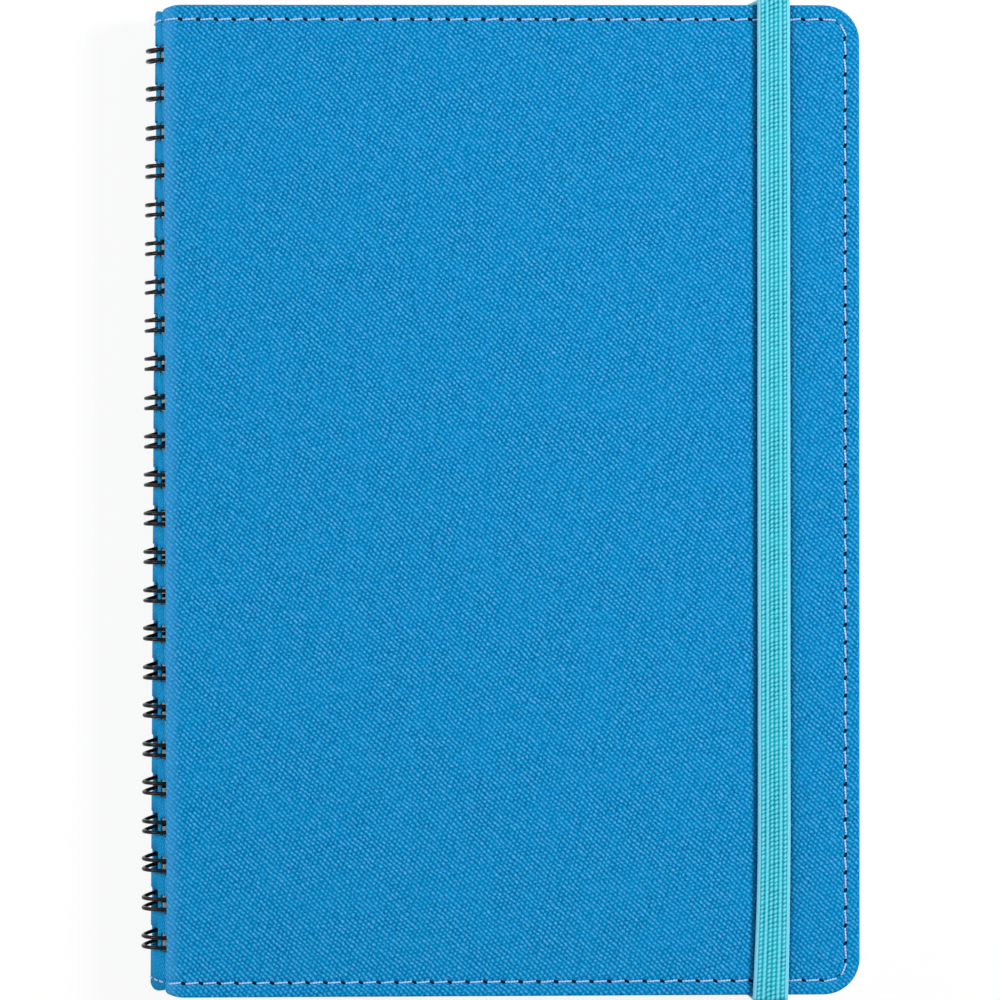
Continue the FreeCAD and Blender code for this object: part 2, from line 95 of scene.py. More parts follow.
class Graph:
    """Adds nodes to one node tree and links them."""

    def __init__(self, tree: bpy.types.NodeTree) -> None:
        """Keeps the tree that the nodes go in."""
        self.tree = tree

    def put(
        self, kind: str, sockets: dict[str | int, Feed] | None = None, **settings: object
    ) -> bpy.types.Node:
        """Adds a node, sets its options and feeds its inputs.

        Args:
            kind: The node's type name.
            sockets: Values or outputs for its inputs, by name or number.
            settings: The node's own options.

        Returns:
            The node.
        """
        node = self.tree.nodes.new(kind)
        for option, value in settings.items():
            setattr(node, option, value)
        for key, value in (sockets or {}).items():
            if isinstance(value, bpy.types.NodeSocket):
                self.tree.links.new(value, node.inputs[key])
            else:
                node.inputs[key].default_value = value
        return node

    def math(self, operation: str, first: Feed, second: Feed = 0.0) -> bpy.types.NodeSocket:
        """Works out one step of arithmetic.

        Args:
            operation: The math node's operation.
            first: First value.
            second: Second value.

        Returns:
            The result.
        """
        return self.put("ShaderNodeMath", {0: first, 1: second}, operation=operation).outputs[0]

    def ramp(
        self, value: Feed, low: float, high: float, start: float = 0.0, end: float = 1.0
    ) -> bpy.types.NodeSocket:
        """Eases a value from one range to another.

        Args:
            value: What is eased.
            low: Where the ease starts.
            high: Where it ends.
            start: Result at and below low.
            end: Result at and above high.

        Returns:
            The eased value.
        """
        limits = {"Value": value, "From Min": low, "From Max": high, "To Min": start, "To Max": end}
        return self.put("ShaderNodeMapRange", limits, interpolation_type="SMOOTHSTEP").outputs[0]

    def mix(self, share: Feed, first: Feed, second: Feed, how: str = "MIX") -> bpy.types.NodeSocket:
        """Mixes two colours.

        Args:
            share: How much of the second colour shows.
            first: First colour.
            second: Second colour.
            how: The way that they mix.

        Returns:
            The mixed colour.
        """
        inputs = {0: share, 6: first, 7: second}
        return self.put("ShaderNodeMix", inputs, data_type="RGBA", blend_type=how).outputs[2]

    def stretch(self, place: Feed, x: float, y: float, z: float) -> bpy.types.NodeSocket:
        """Scales a place along each axis.

        Args:
            place: The place.
            x: Factor along X.
            y: Factor along Y.
            z: Factor along Z.

        Returns:
            The scaled place.
        """
        inputs = {0: place, 1: (x, y, z)}
        return self.put("ShaderNodeVectorMath", inputs, operation="MULTIPLY").outputs[0]

    def noise(self, place: Feed, scale: float, detail: float = 2.0) -> bpy.types.NodeSocket:
        """Reads cloudy noise, from 0 to 1, at a place.

        Args:
            place: Where it is read.
            scale: Clouds per unit.
            detail: How many finer layers it has.

        Returns:
            The noise value.
        """
        inputs = {"Vector": place, "Scale": scale, "Detail": detail}
        return self.put("ShaderNodeTexNoise", inputs).outputs[0]

    def chance(self, place: Feed) -> bpy.types.NodeSocket:
        """Gives one random value, from 0 to 1, for each separate place."""
        return self.put("ShaderNodeTexWhiteNoise", {"Vector": place}).outputs[0]

    def join(self, x: Feed, y: Feed, z: Feed = 0.0) -> bpy.types.NodeSocket:
        """Makes a place out of three values."""
        return self.put("ShaderNodeCombineXYZ", {0: x, 1: y, 2: z}).outputs[0]

    def split(self, place: Feed) -> tuple[bpy.types.NodeSocket, ...]:
        """Gives a place's three values."""
        return tuple(self.put("ShaderNodeSeparateXYZ", {0: place}).outputs)

    def wave(self, turns: Feed) -> bpy.types.NodeSocket:
        """Gives a smooth wave, 0 at whole turns and 1 half way between them."""
        swing = self.math("COSINE", self.math("MULTIPLY", turns, math.tau))
        return self.math("SUBTRACT", 0.5, self.math("MULTIPLY", swing, 0.5))


class EffectGroup:
    """A shader node group that several finishes share."""

    def __init__(self, name: str, inputs: dict[str, str], outputs: Sequence[str]) -> None:
        """Starts the group with its named inputs and outputs.

        Args:
            name: The group's name.
            inputs: Socket kind of each input, by name.
            outputs: Names of the outputs, each a value.
        """
        self.tree = bpy.data.node_groups.new(name, "ShaderNodeTree")
        for title, kind in inputs.items():
            self.tree.interface.new_socket(title, in_out="INPUT", socket_type=kind)
        for title in outputs:
            self.tree.interface.new_socket(title, in_out="OUTPUT", socket_type="NodeSocketFloat")
        self.graph = Graph(self.tree)
        self.source = self.tree.nodes.new("NodeGroupInput").outputs
        self.result = self.tree.nodes.new("NodeGroupOutput").inputs

    def give(self, **results: bpy.types.NodeSocket) -> None:
        """Links each result to the output of that name."""
        for title, socket in results.items():
            self.tree.links.new(socket, self.result[title])

    def place_in(self, graph: Graph, **inputs: Feed) -> bpy.types.NodeOutputs:
        """Puts the group in a material.

        Args:
            graph: The material's graph.
            inputs: What feeds each input.

        Returns:
            The group's outputs.
        """
        return graph.put("ShaderNodeGroup", dict(inputs), node_tree=self.tree).outputs


@dataclass(frozen=True)
class TwillSize:
    """Spacings of the denim's diagonal weave, in millimetres."""

    ridge_gap: float = 0.9
    float_length: float = 1.0
    slant: float = math.radians(43)
    step: float = 0.38
    wander: float = 0.5
    fray: float = 0.42


def twill_group(weave: TwillSize) -> EffectGroup:
    """Makes the denim's weave: ridges that fall to the right, broken into short floats.

    Args:
        weave: The weave's spacings.

    Returns:
        The group. Float marks the raised threads, Gap the hollows between them, Fleck
        varies from thread to thread, and Relief is a height.
    """
    group = EffectGroup(
        "TwillWeave", {"Place": "NodeSocketVector"}, ("Float", "Gap", "Fleck", "Relief")
    )
    graph = group.graph
    place = group.source["Place"]
    x, y, _ = graph.split(place)
    sine, cosine = math.sin(weave.slant), math.cos(weave.slant)
    wobble = graph.math("SUBTRACT", graph.noise(place, 0.3, 3.0), 0.5)
    wobble = graph.math("MULTIPLY", wobble, weave.wander * 2)
    frayed = graph.math("SUBTRACT", graph.noise(place, 1.7, 1.0), 0.5)
    frayed = graph.math("MULTIPLY", frayed, weave.fray)
    wobble = graph.math("ADD", wobble, frayed)
    across = graph.math("ADD", graph.math("MULTIPLY", x, sine), graph.math("MULTIPLY", y, cosine))
    across = graph.math("DIVIDE", graph.math("ADD", across, wobble), weave.ridge_gap)
    row = graph.math("FLOOR", across)
    along = graph.math(
        "SUBTRACT", graph.math("MULTIPLY", x, cosine), graph.math("MULTIPLY", y, sine)
    )
    along = graph.math("DIVIDE", along, weave.float_length)
    along = graph.math("ADD", along, graph.math("MULTIPLY", row, weave.step))
    along = graph.math("ADD", along, graph.math("MULTIPLY", graph.noise(place, 0.8, 1.0), 1.1))
    ridge = graph.wave(across)
    broken = graph.math("SUBTRACT", 1.0, graph.wave(along))
    patch = graph.ramp(graph.noise(place, 0.5, 1.0), 0.36, 0.62, 0.42, 0.85)
    dash = graph.math("SUBTRACT", 1.0, graph.math("MULTIPLY", broken, patch))
    float_mask = graph.math("MULTIPLY", ridge, dash)
    hollow = graph.math("MULTIPLY", graph.math("SUBTRACT", 1.0, ridge), broken)
    fuzz = graph.noise(place, 5.0, 2.0)
    relief = graph.math("ADD", float_mask, graph.math("MULTIPLY", fuzz, 0.35))
    fleck = graph.noise(graph.stretch(place, 1.3, 1.3, 1.0), 1.0, 1.0)
    group.give(Float=float_mask, Gap=hollow, Fleck=fleck, Relief=relief)
    return group


def fibre_group() -> EffectGroup:
    """Makes the mottle and fine grain of paper, board and thread.

    Returns:
        The group. Mottle is cloudy and slow, Grain is fine, and both run from 0 to 1.
    """
    group = EffectGroup(
        "FibreGrain", {"Place": "NodeSocketVector", "Fineness": "NodeSocketFloat"}, ("Mottle", "Grain")
    )
    graph = group.graph
    scaled = graph.put(
        "ShaderNodeVectorMath",
        {0: group.source["Place"], "Scale": group.source["Fineness"]},
        operation="SCALE",
    ).outputs[0]
    mottle = graph.noise(scaled, 0.08, 4.0)
    grain = graph.noise(graph.stretch(scaled, 1.0, 0.35, 1.0), 2.6, 3.0)
    group.give(Mottle=mottle, Grain=grain)
    return group


class Finish:
    """What every finish has: a material with one shader, named for the piece that wears it."""

    def start(self, title: str) -> tuple[bpy.types.Material, Graph, bpy.types.Node]:
        """Makes a material that holds one principled shader.

        Args:
            title: The material's name.

        Returns:
            The material, its graph and its shader.
        """
        material = bpy.data.materials.new(title)
        material.use_nodes = True
        material.node_tree.nodes.clear()
        graph = Graph(material.node_tree)
        shader = graph.put("ShaderNodeBsdfPrincipled")
        graph.put("ShaderNodeOutputMaterial", {"Surface": shader.outputs[0]})
        return material, graph, shader

    def set_plain(self, shader: bpy.types.Node, **values: Feed) -> None:
        """Sets the shader's own sockets; an underscore in a name stands for a space."""
        for title, value in values.items():
            shader.inputs[title.replace("_", " ")].default_value = value

    def wire_up(
        self,
        graph: Graph,
        shader: bpy.types.Node,
        colour: Feed,
        roughness: Feed,
        height: Feed,
        depth: float,
    ) -> None:
        """Feeds colour, roughness and a bump to the shader.

        Args:
            graph: The material's graph.
            shader: Its shader.
            colour: Base colour.
            roughness: Roughness.
            height: Relief from 0 to 1.
            depth: How deep the relief is, in metres.
        """
        bump = graph.put("ShaderNodeBump", {"Height": height, "Distance": depth, "Strength": 1.0})
        graph.tree.links.new(bump.outputs[0], shader.inputs["Normal"])
        for title, value in (("Base Color", colour), ("Roughness", roughness)):
            if isinstance(value, bpy.types.NodeSocket):
                graph.tree.links.new(value, shader.inputs[title])
            else:
                shader.inputs[title].default_value = value

    def millimetres(self, graph: Graph) -> bpy.types.NodeSocket:
        """Gives the object's own coordinates in millimetres."""
        coordinates = graph.put("ShaderNodeTexCoord").outputs["Object"]
        return graph.stretch(coordinates, 1 / MM, 1 / MM, 1 / MM)

    def attribute(self, graph: Graph, title: str) -> bpy.types.NodeSocket:
        """Gives a vector that the mesh carries."""
        return graph.put("ShaderNodeAttribute", attribute_name=title).outputs["Vector"]


@dataclass(frozen=True)
class DenimFinish(Finish):
    """Bright blue denim-look cloth."""

    title: str
    weave: EffectGroup
    contrast: float
    # strength of the painted contact shadow along the closing band's edges; 0 leaves it out
    band_shadow_strength: float = 0.0
    base: Colour = paint(0, 139, 197)
    pale: Colour = paint(100, 163, 220)
    deep: Colour = paint(0, 112, 168)
    speck: Colour = paint(0, 58, 96)
    # colour of the painted shadow along the band's edges
    band_shadow_colour: Colour = paint(0, 52, 84)
    fold_pale_width: float = 3.9
    relief: float = 0.07 * MM
    band_middle: float = 134.0
    band_half: float = 3.6
    band_bend: float = -68.0
    band_drift: float = 0.00051

    def band_shadow_mask(self, graph: Graph, x: Feed, y: Feed) -> bpy.types.NodeSocket:
        """Paints the closing band's contact shadow onto the cloth, as darker colour along both its edges.

        Args:
            graph: The material's graph.
            x: Distance from the fold in millimetres.
            y: Distance along the fold in millimetres.

        Returns:
            The painted shadow's strength, strongest along the band's two edges.
        """
        below = graph.math("MAXIMUM", graph.math("SUBTRACT", self.band_bend, y), 0.0)
        drift = graph.math("MULTIPLY", graph.math("MULTIPLY", below, below), self.band_drift)
        across = graph.math("SUBTRACT", graph.math("ADD", x, drift), self.band_middle)
        left = graph.ramp(across, -self.band_half - 1.7, -self.band_half + 0.1)
        right = graph.ramp(across, self.band_half + 0.1, self.band_half + 1.3, 1.0, 0.0)
        fleck = graph.ramp(graph.noise(graph.join(x, y), 1.6, 2.0), 0.3, 0.6, 0.45, 1.0)
        return graph.math("MULTIPLY", graph.math("MULTIPLY", left, right), fleck)

    def make(self) -> bpy.types.Material:
        """Builds the cloth: weave, patches of soft contrast, a paler zone by the fold and, where set, painted
        shadow along the band's edges.
        """
        material, graph, shader = self.start(self.title)
        place = self.attribute(graph, "cloth")
        from_fold, along, _ = graph.split(place)
        twill = self.weave.place_in(graph, Place=place)
        # paler and lower in contrast towards the fold
        tint_share = graph.ramp(from_fold, 0.6, self.fold_pale_width, 1.0, 0.0)
        patch = graph.ramp(graph.noise(place, 0.11, 3.0), 0.3, 0.7, 0.8, 1.1)
        soft = graph.ramp(tint_share, 0.0, 1.0, self.contrast, 0.62 * self.contrast)
        patch = graph.math("MULTIPLY", patch, soft)
        shade = graph.math("MULTIPLY", graph.ramp(twill["Float"], 0.0, 0.5, 0.9, 0.0), patch)
        colour = graph.mix(shade, self.base, self.deep)
        chosen = graph.ramp(twill["Fleck"], 0.3, 0.7, 0.35, 1.0)
        bright = graph.math("MULTIPLY", graph.ramp(twill["Float"], 0.4, 1.0), chosen)
        colour = graph.mix(graph.math("MULTIPLY", bright, patch), colour, self.pale)
        chosen = graph.ramp(twill["Fleck"], 0.38, 0.6, 1.0, 0.12)
        dark = graph.math("MULTIPLY", chosen, graph.ramp(twill["Gap"], 0.5, 0.95))
        colour = graph.mix(graph.math("MULTIPLY", dark, patch), colour, self.speck)
        colour = graph.mix(graph.math("MULTIPLY", tint_share, 0.2), colour, self.pale)
        # painted shadow: darkens the cloth along both edges of the closing band, where its contact shadow
        # falls
        if self.band_shadow_strength:
            mark = graph.math("MULTIPLY", self.band_shadow_mask(graph, from_fold, along), self.band_shadow_strength)
            colour = graph.mix(mark, colour, self.band_shadow_colour)
        roughness = graph.ramp(twill["Float"], 0.0, 1.0, 0.95, 0.8)
        self.wire_up(graph, shader, colour, roughness, twill["Relief"], self.relief * self.contrast)
        self.set_plain(shader, Specular_IOR_Level=0.06)
        return material


@dataclass(frozen=True)
class ThreadFinish(Finish):
    """Pale twisted sewing thread."""

    fibre: EffectGroup
    pale: Colour = paint(190, 214, 244)
    shaded: Colour = paint(98, 158, 218)
    twist_gap: float = 0.62

    def make(self) -> bpy.types.Material:
        """Builds the thread: two plies that wind round it, with painted shade between them."""
        material, graph, shader = self.start("sewing_thread")
        around, along, _ = graph.split(self.attribute(graph, "thread"))
        turns = graph.math("ADD", graph.math("DIVIDE", along, self.twist_gap), around)
        ply = graph.wave(turns)
        grain = self.fibre.place_in(graph, Place=self.millimetres(graph), Fineness=2.0)
        # painted shade: the hollow between the plies is darkened towards the shaded colour
        shadow = graph.ramp(ply, 0.05, 0.55, 0.75, 0.0)
        colour = graph.mix(shadow, self.pale, self.shaded)
        colour = graph.mix(graph.ramp(grain["Grain"], 0.35, 0.7, 0.3, 0.0), colour, self.shaded)
        self.wire_up(graph, shader, colour, 0.7, ply, 0.05 * MM)
        self.set_plain(shader, Specular_IOR_Level=0.2)
        return material


@dataclass(frozen=True)
class NeedleHoleFinish(Finish):
    """The shaded cloth inside a needle hole."""

    fibre: EffectGroup
    deep: Colour = paint(6, 14, 22)
    edge: Colour = paint(0, 36, 62)

    def make(self) -> bpy.types.Material:
        """Builds the hole's dark cloth."""
        material, graph, shader = self.start("needle_hole")
        grain = self.fibre.place_in(graph, Place=self.millimetres(graph), Fineness=1.6)
        colour = graph.mix(graph.ramp(grain["Grain"], 0.45, 0.75, 0.0, 0.6), self.deep, self.edge)
        self.wire_up(graph, shader, colour, 0.95, grain["Grain"], 0.03 * MM)
        self.set_plain(shader, Specular_IOR_Level=0.0)
        return material


@dataclass(frozen=True)
class WireFinish(Finish):
    """Glossy black coating on steel wire."""

    fibre: EffectGroup
    black: Colour = paint(5, 7, 11)
    brown_reflection: Colour = paint(30, 19, 18)

    def make(self) -> bpy.types.Material:
        """Builds the coating: a little duller in random patches, with a brownish painted reflection in some of
        them.
        """
        material, graph, shader = self.start("coated_wire")
        grain = self.fibre.place_in(graph, Place=self.millimetres(graph), Fineness=1.4)
        # painted reflection: random patches of the coating tinted brown
        tint_share = graph.ramp(grain["Mottle"], 0.5, 0.72)
        colour = graph.mix(tint_share, self.black, self.brown_reflection)
        roughness = graph.ramp(grain["Mottle"], 0.35, 0.7, 0.16, 0.3)
        self.wire_up(graph, shader, colour, roughness, grain["Grain"], 0.003 * MM)
        self.set_plain(shader, Specular_IOR_Level=0.12)
        return material


@dataclass(frozen=True)
class ElasticFinish(Finish):
    """Turquoise braided elastic."""

    fibre: EffectGroup
    light: Colour = paint(126, 205, 226)
    mid: Colour = paint(66, 186, 208)
    deep: Colour = paint(0, 160, 176)
    groove: Colour = paint(0, 104, 120)
    width: float = 7.2
    selvage: float = 0.68
    columns: float = 6.0
    stitch_gap: float = 1.0
    lean: float = 0.4

    def make(self) -> bpy.types.Material:
        """Builds the braid: smooth selvages and columns of small slanted loops between ribs."""
        material, graph, shader = self.start("braided_elastic")
        across, along, _ = graph.split(self.attribute(graph, "braid"))
        grain = self.fibre.place_in(graph, Place=self.millimetres(graph), Fineness=2.4)
        body_width = self.width - 2 * self.selvage
        column = graph.math("DIVIDE", graph.math("SUBTRACT", across, self.selvage), body_width / self.columns)
        number = graph.math("FLOOR", column)
        within = graph.math("SUBTRACT", graph.math("SUBTRACT", column, number), 0.5)
        lean = graph.math("MULTIPLY", within, self.lean)
        wander = graph.math("MULTIPLY", graph.noise(graph.join(number, along), 0.7, 1.0), 0.8)
        turns = graph.math("ADD", graph.math("DIVIDE", along, self.stitch_gap), wander)
        turns = graph.math("ADD", turns, lean)
        loop = graph.wave(graph.math("ADD", turns, graph.chance(graph.join(number, 7.0))))
        ridge = graph.wave(column)
        inner = graph.math(
            "MULTIPLY",
            graph.ramp(across, self.selvage - 0.1, self.selvage + 0.12),
            graph.ramp(across, self.width - self.selvage - 0.12, self.width - self.selvage + 0.1, 1.0, 0.0),
        )
        third = graph.math("ABSOLUTE", graph.math("SUBTRACT", graph.math("MODULO", number, 3.0), 1.0))
        beaded = graph.ramp(third, 0.0, 1.0, 0.42, 0.82)
        bead = graph.math("ADD", graph.math("MULTIPLY", loop, beaded), graph.math("SUBTRACT", 1.0, beaded))
        bead = graph.math("MULTIPLY", bead, ridge)
        colour = graph.mix(graph.ramp(bead, 0.0, 0.4), self.deep, self.mid)
        colour = graph.mix(graph.ramp(bead, 0.3, 0.85), colour, self.light)
        flecks = graph.ramp(graph.math("MAXIMUM", bead, graph.math("MULTIPLY", loop, 0.5)), 0.0, 0.3, 1.0, 0.0)
        flecks = graph.math("MULTIPLY", flecks, graph.ramp(grain["Mottle"], 0.4, 0.6, 0.25, 0.9))
        colour = graph.mix(flecks, colour, self.groove)
        plain = graph.mix(graph.ramp(grain["Grain"], 0.3, 0.7, 0.0, 0.4), self.light, self.mid)
        colour = graph.mix(inner, plain, colour)
        height = graph.math("ADD", graph.math("MULTIPLY", loop, beaded), ridge)
        height = graph.math("MULTIPLY", height, inner)
        self.wire_up(graph, shader, colour, 0.8, height, 0.06 * MM)
        self.set_plain(shader, Specular_IOR_Level=0.15)
        return material


@dataclass(frozen=True)
class SheetFinish(Finish):
    """Paper, lining or greyboard: a mottled sheet, with lines where its edge shows a stack."""

    title: str
    fibre: EffectGroup
    light: Colour
    shaded: Colour
    fineness: float
    leaf_lines: float = 0.0
    roughness: float = 0.85
    relief: float = 0.03 * MM

    def make(self) -> bpy.types.Material:
        """Builds the sheet."""
        material, graph, shader = self.start(self.title)
        place = self.millimetres(graph)
        grain = self.fibre.place_in(graph, Place=place, Fineness=self.fineness)
        colour = graph.mix(graph.ramp(grain["Mottle"], 0.35, 0.7, 0.0, 0.1), self.light, self.shaded)
        colour = graph.mix(graph.ramp(grain["Grain"], 0.4, 0.75, 0.0, 0.25), colour, self.shaded)
        height = grain["Grain"]
        if self.leaf_lines:
            lines = graph.noise(graph.stretch(place, 0.02, 0.02, self.leaf_lines), 1.0, 3.0)
            upright = graph.split(graph.put("ShaderNodeNewGeometry").outputs["Normal"])[2]
            edge = graph.ramp(graph.math("ABSOLUTE", upright), 0.2, 0.7, 1.0, 0.0)
            shade = graph.math("MULTIPLY", graph.ramp(lines, 0.42, 0.62, 0.6, 0.0), edge)
            colour = graph.mix(shade, colour, self.shaded)
        self.wire_up(graph, shader, colour, self.roughness, height, self.relief)
        self.set_plain(shader, Specular_IOR_Level=0.25)
        return material


@dataclass(frozen=True)
class FloorFinish(Finish):
    """A plain white floor that keeps the object's shadow."""

    fibre: EffectGroup
    white: Colour = (0.92, 0.92, 0.92, 1.0)
    lift: float = 0.88

    def make(self) -> bpy.types.Material:
        """Builds the floor: seen by the camera, most of it is plain white."""
        material, graph, shader = self.start("pale_floor")
        grain = self.fibre.place_in(graph, Place=self.millimetres(graph), Fineness=0.2)
        soft = graph.mix(graph.ramp(grain["Mottle"], 0.3, 0.7, 0.0, 0.02), self.white, (0.88, 0.88, 0.88, 1.0))
        self.wire_up(graph, shader, soft, 0.95, grain["Grain"], 0.001 * MM)
        self.set_plain(shader, Specular_IOR_Level=0.0)
        glow = graph.put("ShaderNodeEmission", {"Color": (1.0, 1.0, 1.0, 1.0), "Strength": 1.0})
        path = graph.put("ShaderNodeLightPath").outputs
        seen = graph.math("MAXIMUM", path["Is Camera Ray"], path["Is Glossy Ray"])
        seen = graph.math("MAXIMUM", seen, path["Is Transmission Ray"])
        share = graph.math("MULTIPLY", seen, self.lift)
        blend = graph.put("ShaderNodeMixShader", {0: share, 1: shader.outputs[0], 2: glow.outputs[0]})
        output = next(n for n in graph.tree.nodes if n.type == "OUTPUT_MATERIAL")
        graph.tree.links.new(blend.outputs[0], output.inputs["Surface"])
        return material


def skin(
    mesh: bmesh.types.BMesh, rings: Sequence[Ring], closed: bool = False
) -> list[list[bmesh.types.BMVert]]:
    """Stretches a skin from ring to ring by extruding the last ring's edges.

    Args:
        mesh: The mesh that it goes in.
        rings: The rings, each with as many points as the others.
        closed: Whether each ring closes on itself.

    Returns:
        The vertices, ring by ring.
    """
    row = [mesh.verts.new(point) for point in rings[0]]
    ends = row[1:] + row[:1] if closed else row[1:]
    edges = [mesh.edges.new(pair) for pair in zip(row, ends)]
    rows = [row]
    for ring in rings[1:]:
        made = bmesh.ops.extrude_edge_only(mesh, edges=edges)["geom"]
        fresh = {tuple(part.co): part for part in made if isinstance(part, bmesh.types.BMVert)}
        row = [fresh[tuple(vert.co)] for vert in rows[-1]]
        for vert, point in zip(row, ring):
            vert.co = point
        ends = row[1:] + row[:1] if closed else row[1:]
        edges = [mesh.edges.get(pair) for pair in zip(row, ends)]
        rows.append(row)
    return rows


def finish_piece(
    mesh: bmesh.types.BMesh, name: str, body: str, material: bpy.types.Material
) -> bpy.types.Object:
    """Turns a mesh into a smooth-shaded piece that rides on a body.

    Args:
        mesh: The piece's mesh, in its place; it is freed.
        name: The piece's name.
        body: The body that it rides on.
        material: Its finish.

    Returns:
        The piece.
    """
    data = bpy.data.meshes.new(name)
    mesh.to_mesh(data)
    mesh.free()
    data.shade_smooth()
    data.materials.append(material)
    piece = bpy.data.objects.new(name, data)
    bpy.context.scene.collection.objects.link(piece)
    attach(piece, body)
    LOG.info("%s: %d faces on %s", name, len(data.polygons), body)
    return piece


def dress_node(name: str, material: bpy.types.Material) -> None:
    """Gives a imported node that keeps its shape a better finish."""
    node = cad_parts[name]
    for place in range(max(1, len(node.material_slots))):
        if not node.material_slots:
            node.data.materials.append(material)
        node.material_slots[place].material = material
    LOG.info("%s keeps its shape", name)


@dataclass(frozen=True)
class Spine:
    """The row of loops along the spine, which every sub-assembly is cut or bent to."""

    loops: int = 24
    pitch: float = 8.5 * MM
    offset: float = 0.58 * MM
    foot_shift: float = -0.4 * MM
    twist: float = 0.0082

    def stations(self) -> list[float]:
        """Gives the Y of each loop's middle."""
        first = self.offset - (self.loops - 1) * self.pitch / 2
        return [first + number * self.pitch for number in range(self.loops)]

    def foot(self, y: float) -> float:
        """Gives how far the spine's foot lies from its plain place, as the covers are twisted a little."""
        return self.foot_shift + self.twist * y

    def cut_rows(
        self, mesh: bmesh.types.BMesh, height: float, reach: float, shift: float = 0.0
    ) -> None:
        """Cuts lines across a mesh on both sides of every loop.

        Args:
            mesh: The mesh.
            height: How far apart a loop's two lines are.
            reach: Only faces left of this X are cut.
            shift: How far the lines lie above the loop's middle.
        """
        for middle in self.stations():
            for side in (-1, 1):
                faces = [f for f in mesh.faces if f.calc_center_median().x < reach]
                geom = list({p for f in faces for p in (*f.verts, *f.edges)}) + faces
                bmesh.ops.bisect_plane(
                    mesh,
                    geom=geom,
                    dist=0.001 * MM,
                    plane_co=(0, middle + shift + side * height / 2, 0),
                    plane_no=(0, 1, 0),
                )

    def at_loop(self, y: float, height: float, shift: float = 0.0) -> bool:
        """Says whether a Y lies in a slot of that height, set that far above the loop's middle."""
        return any(abs(y - middle - shift) < height / 2 for middle in self.stations())


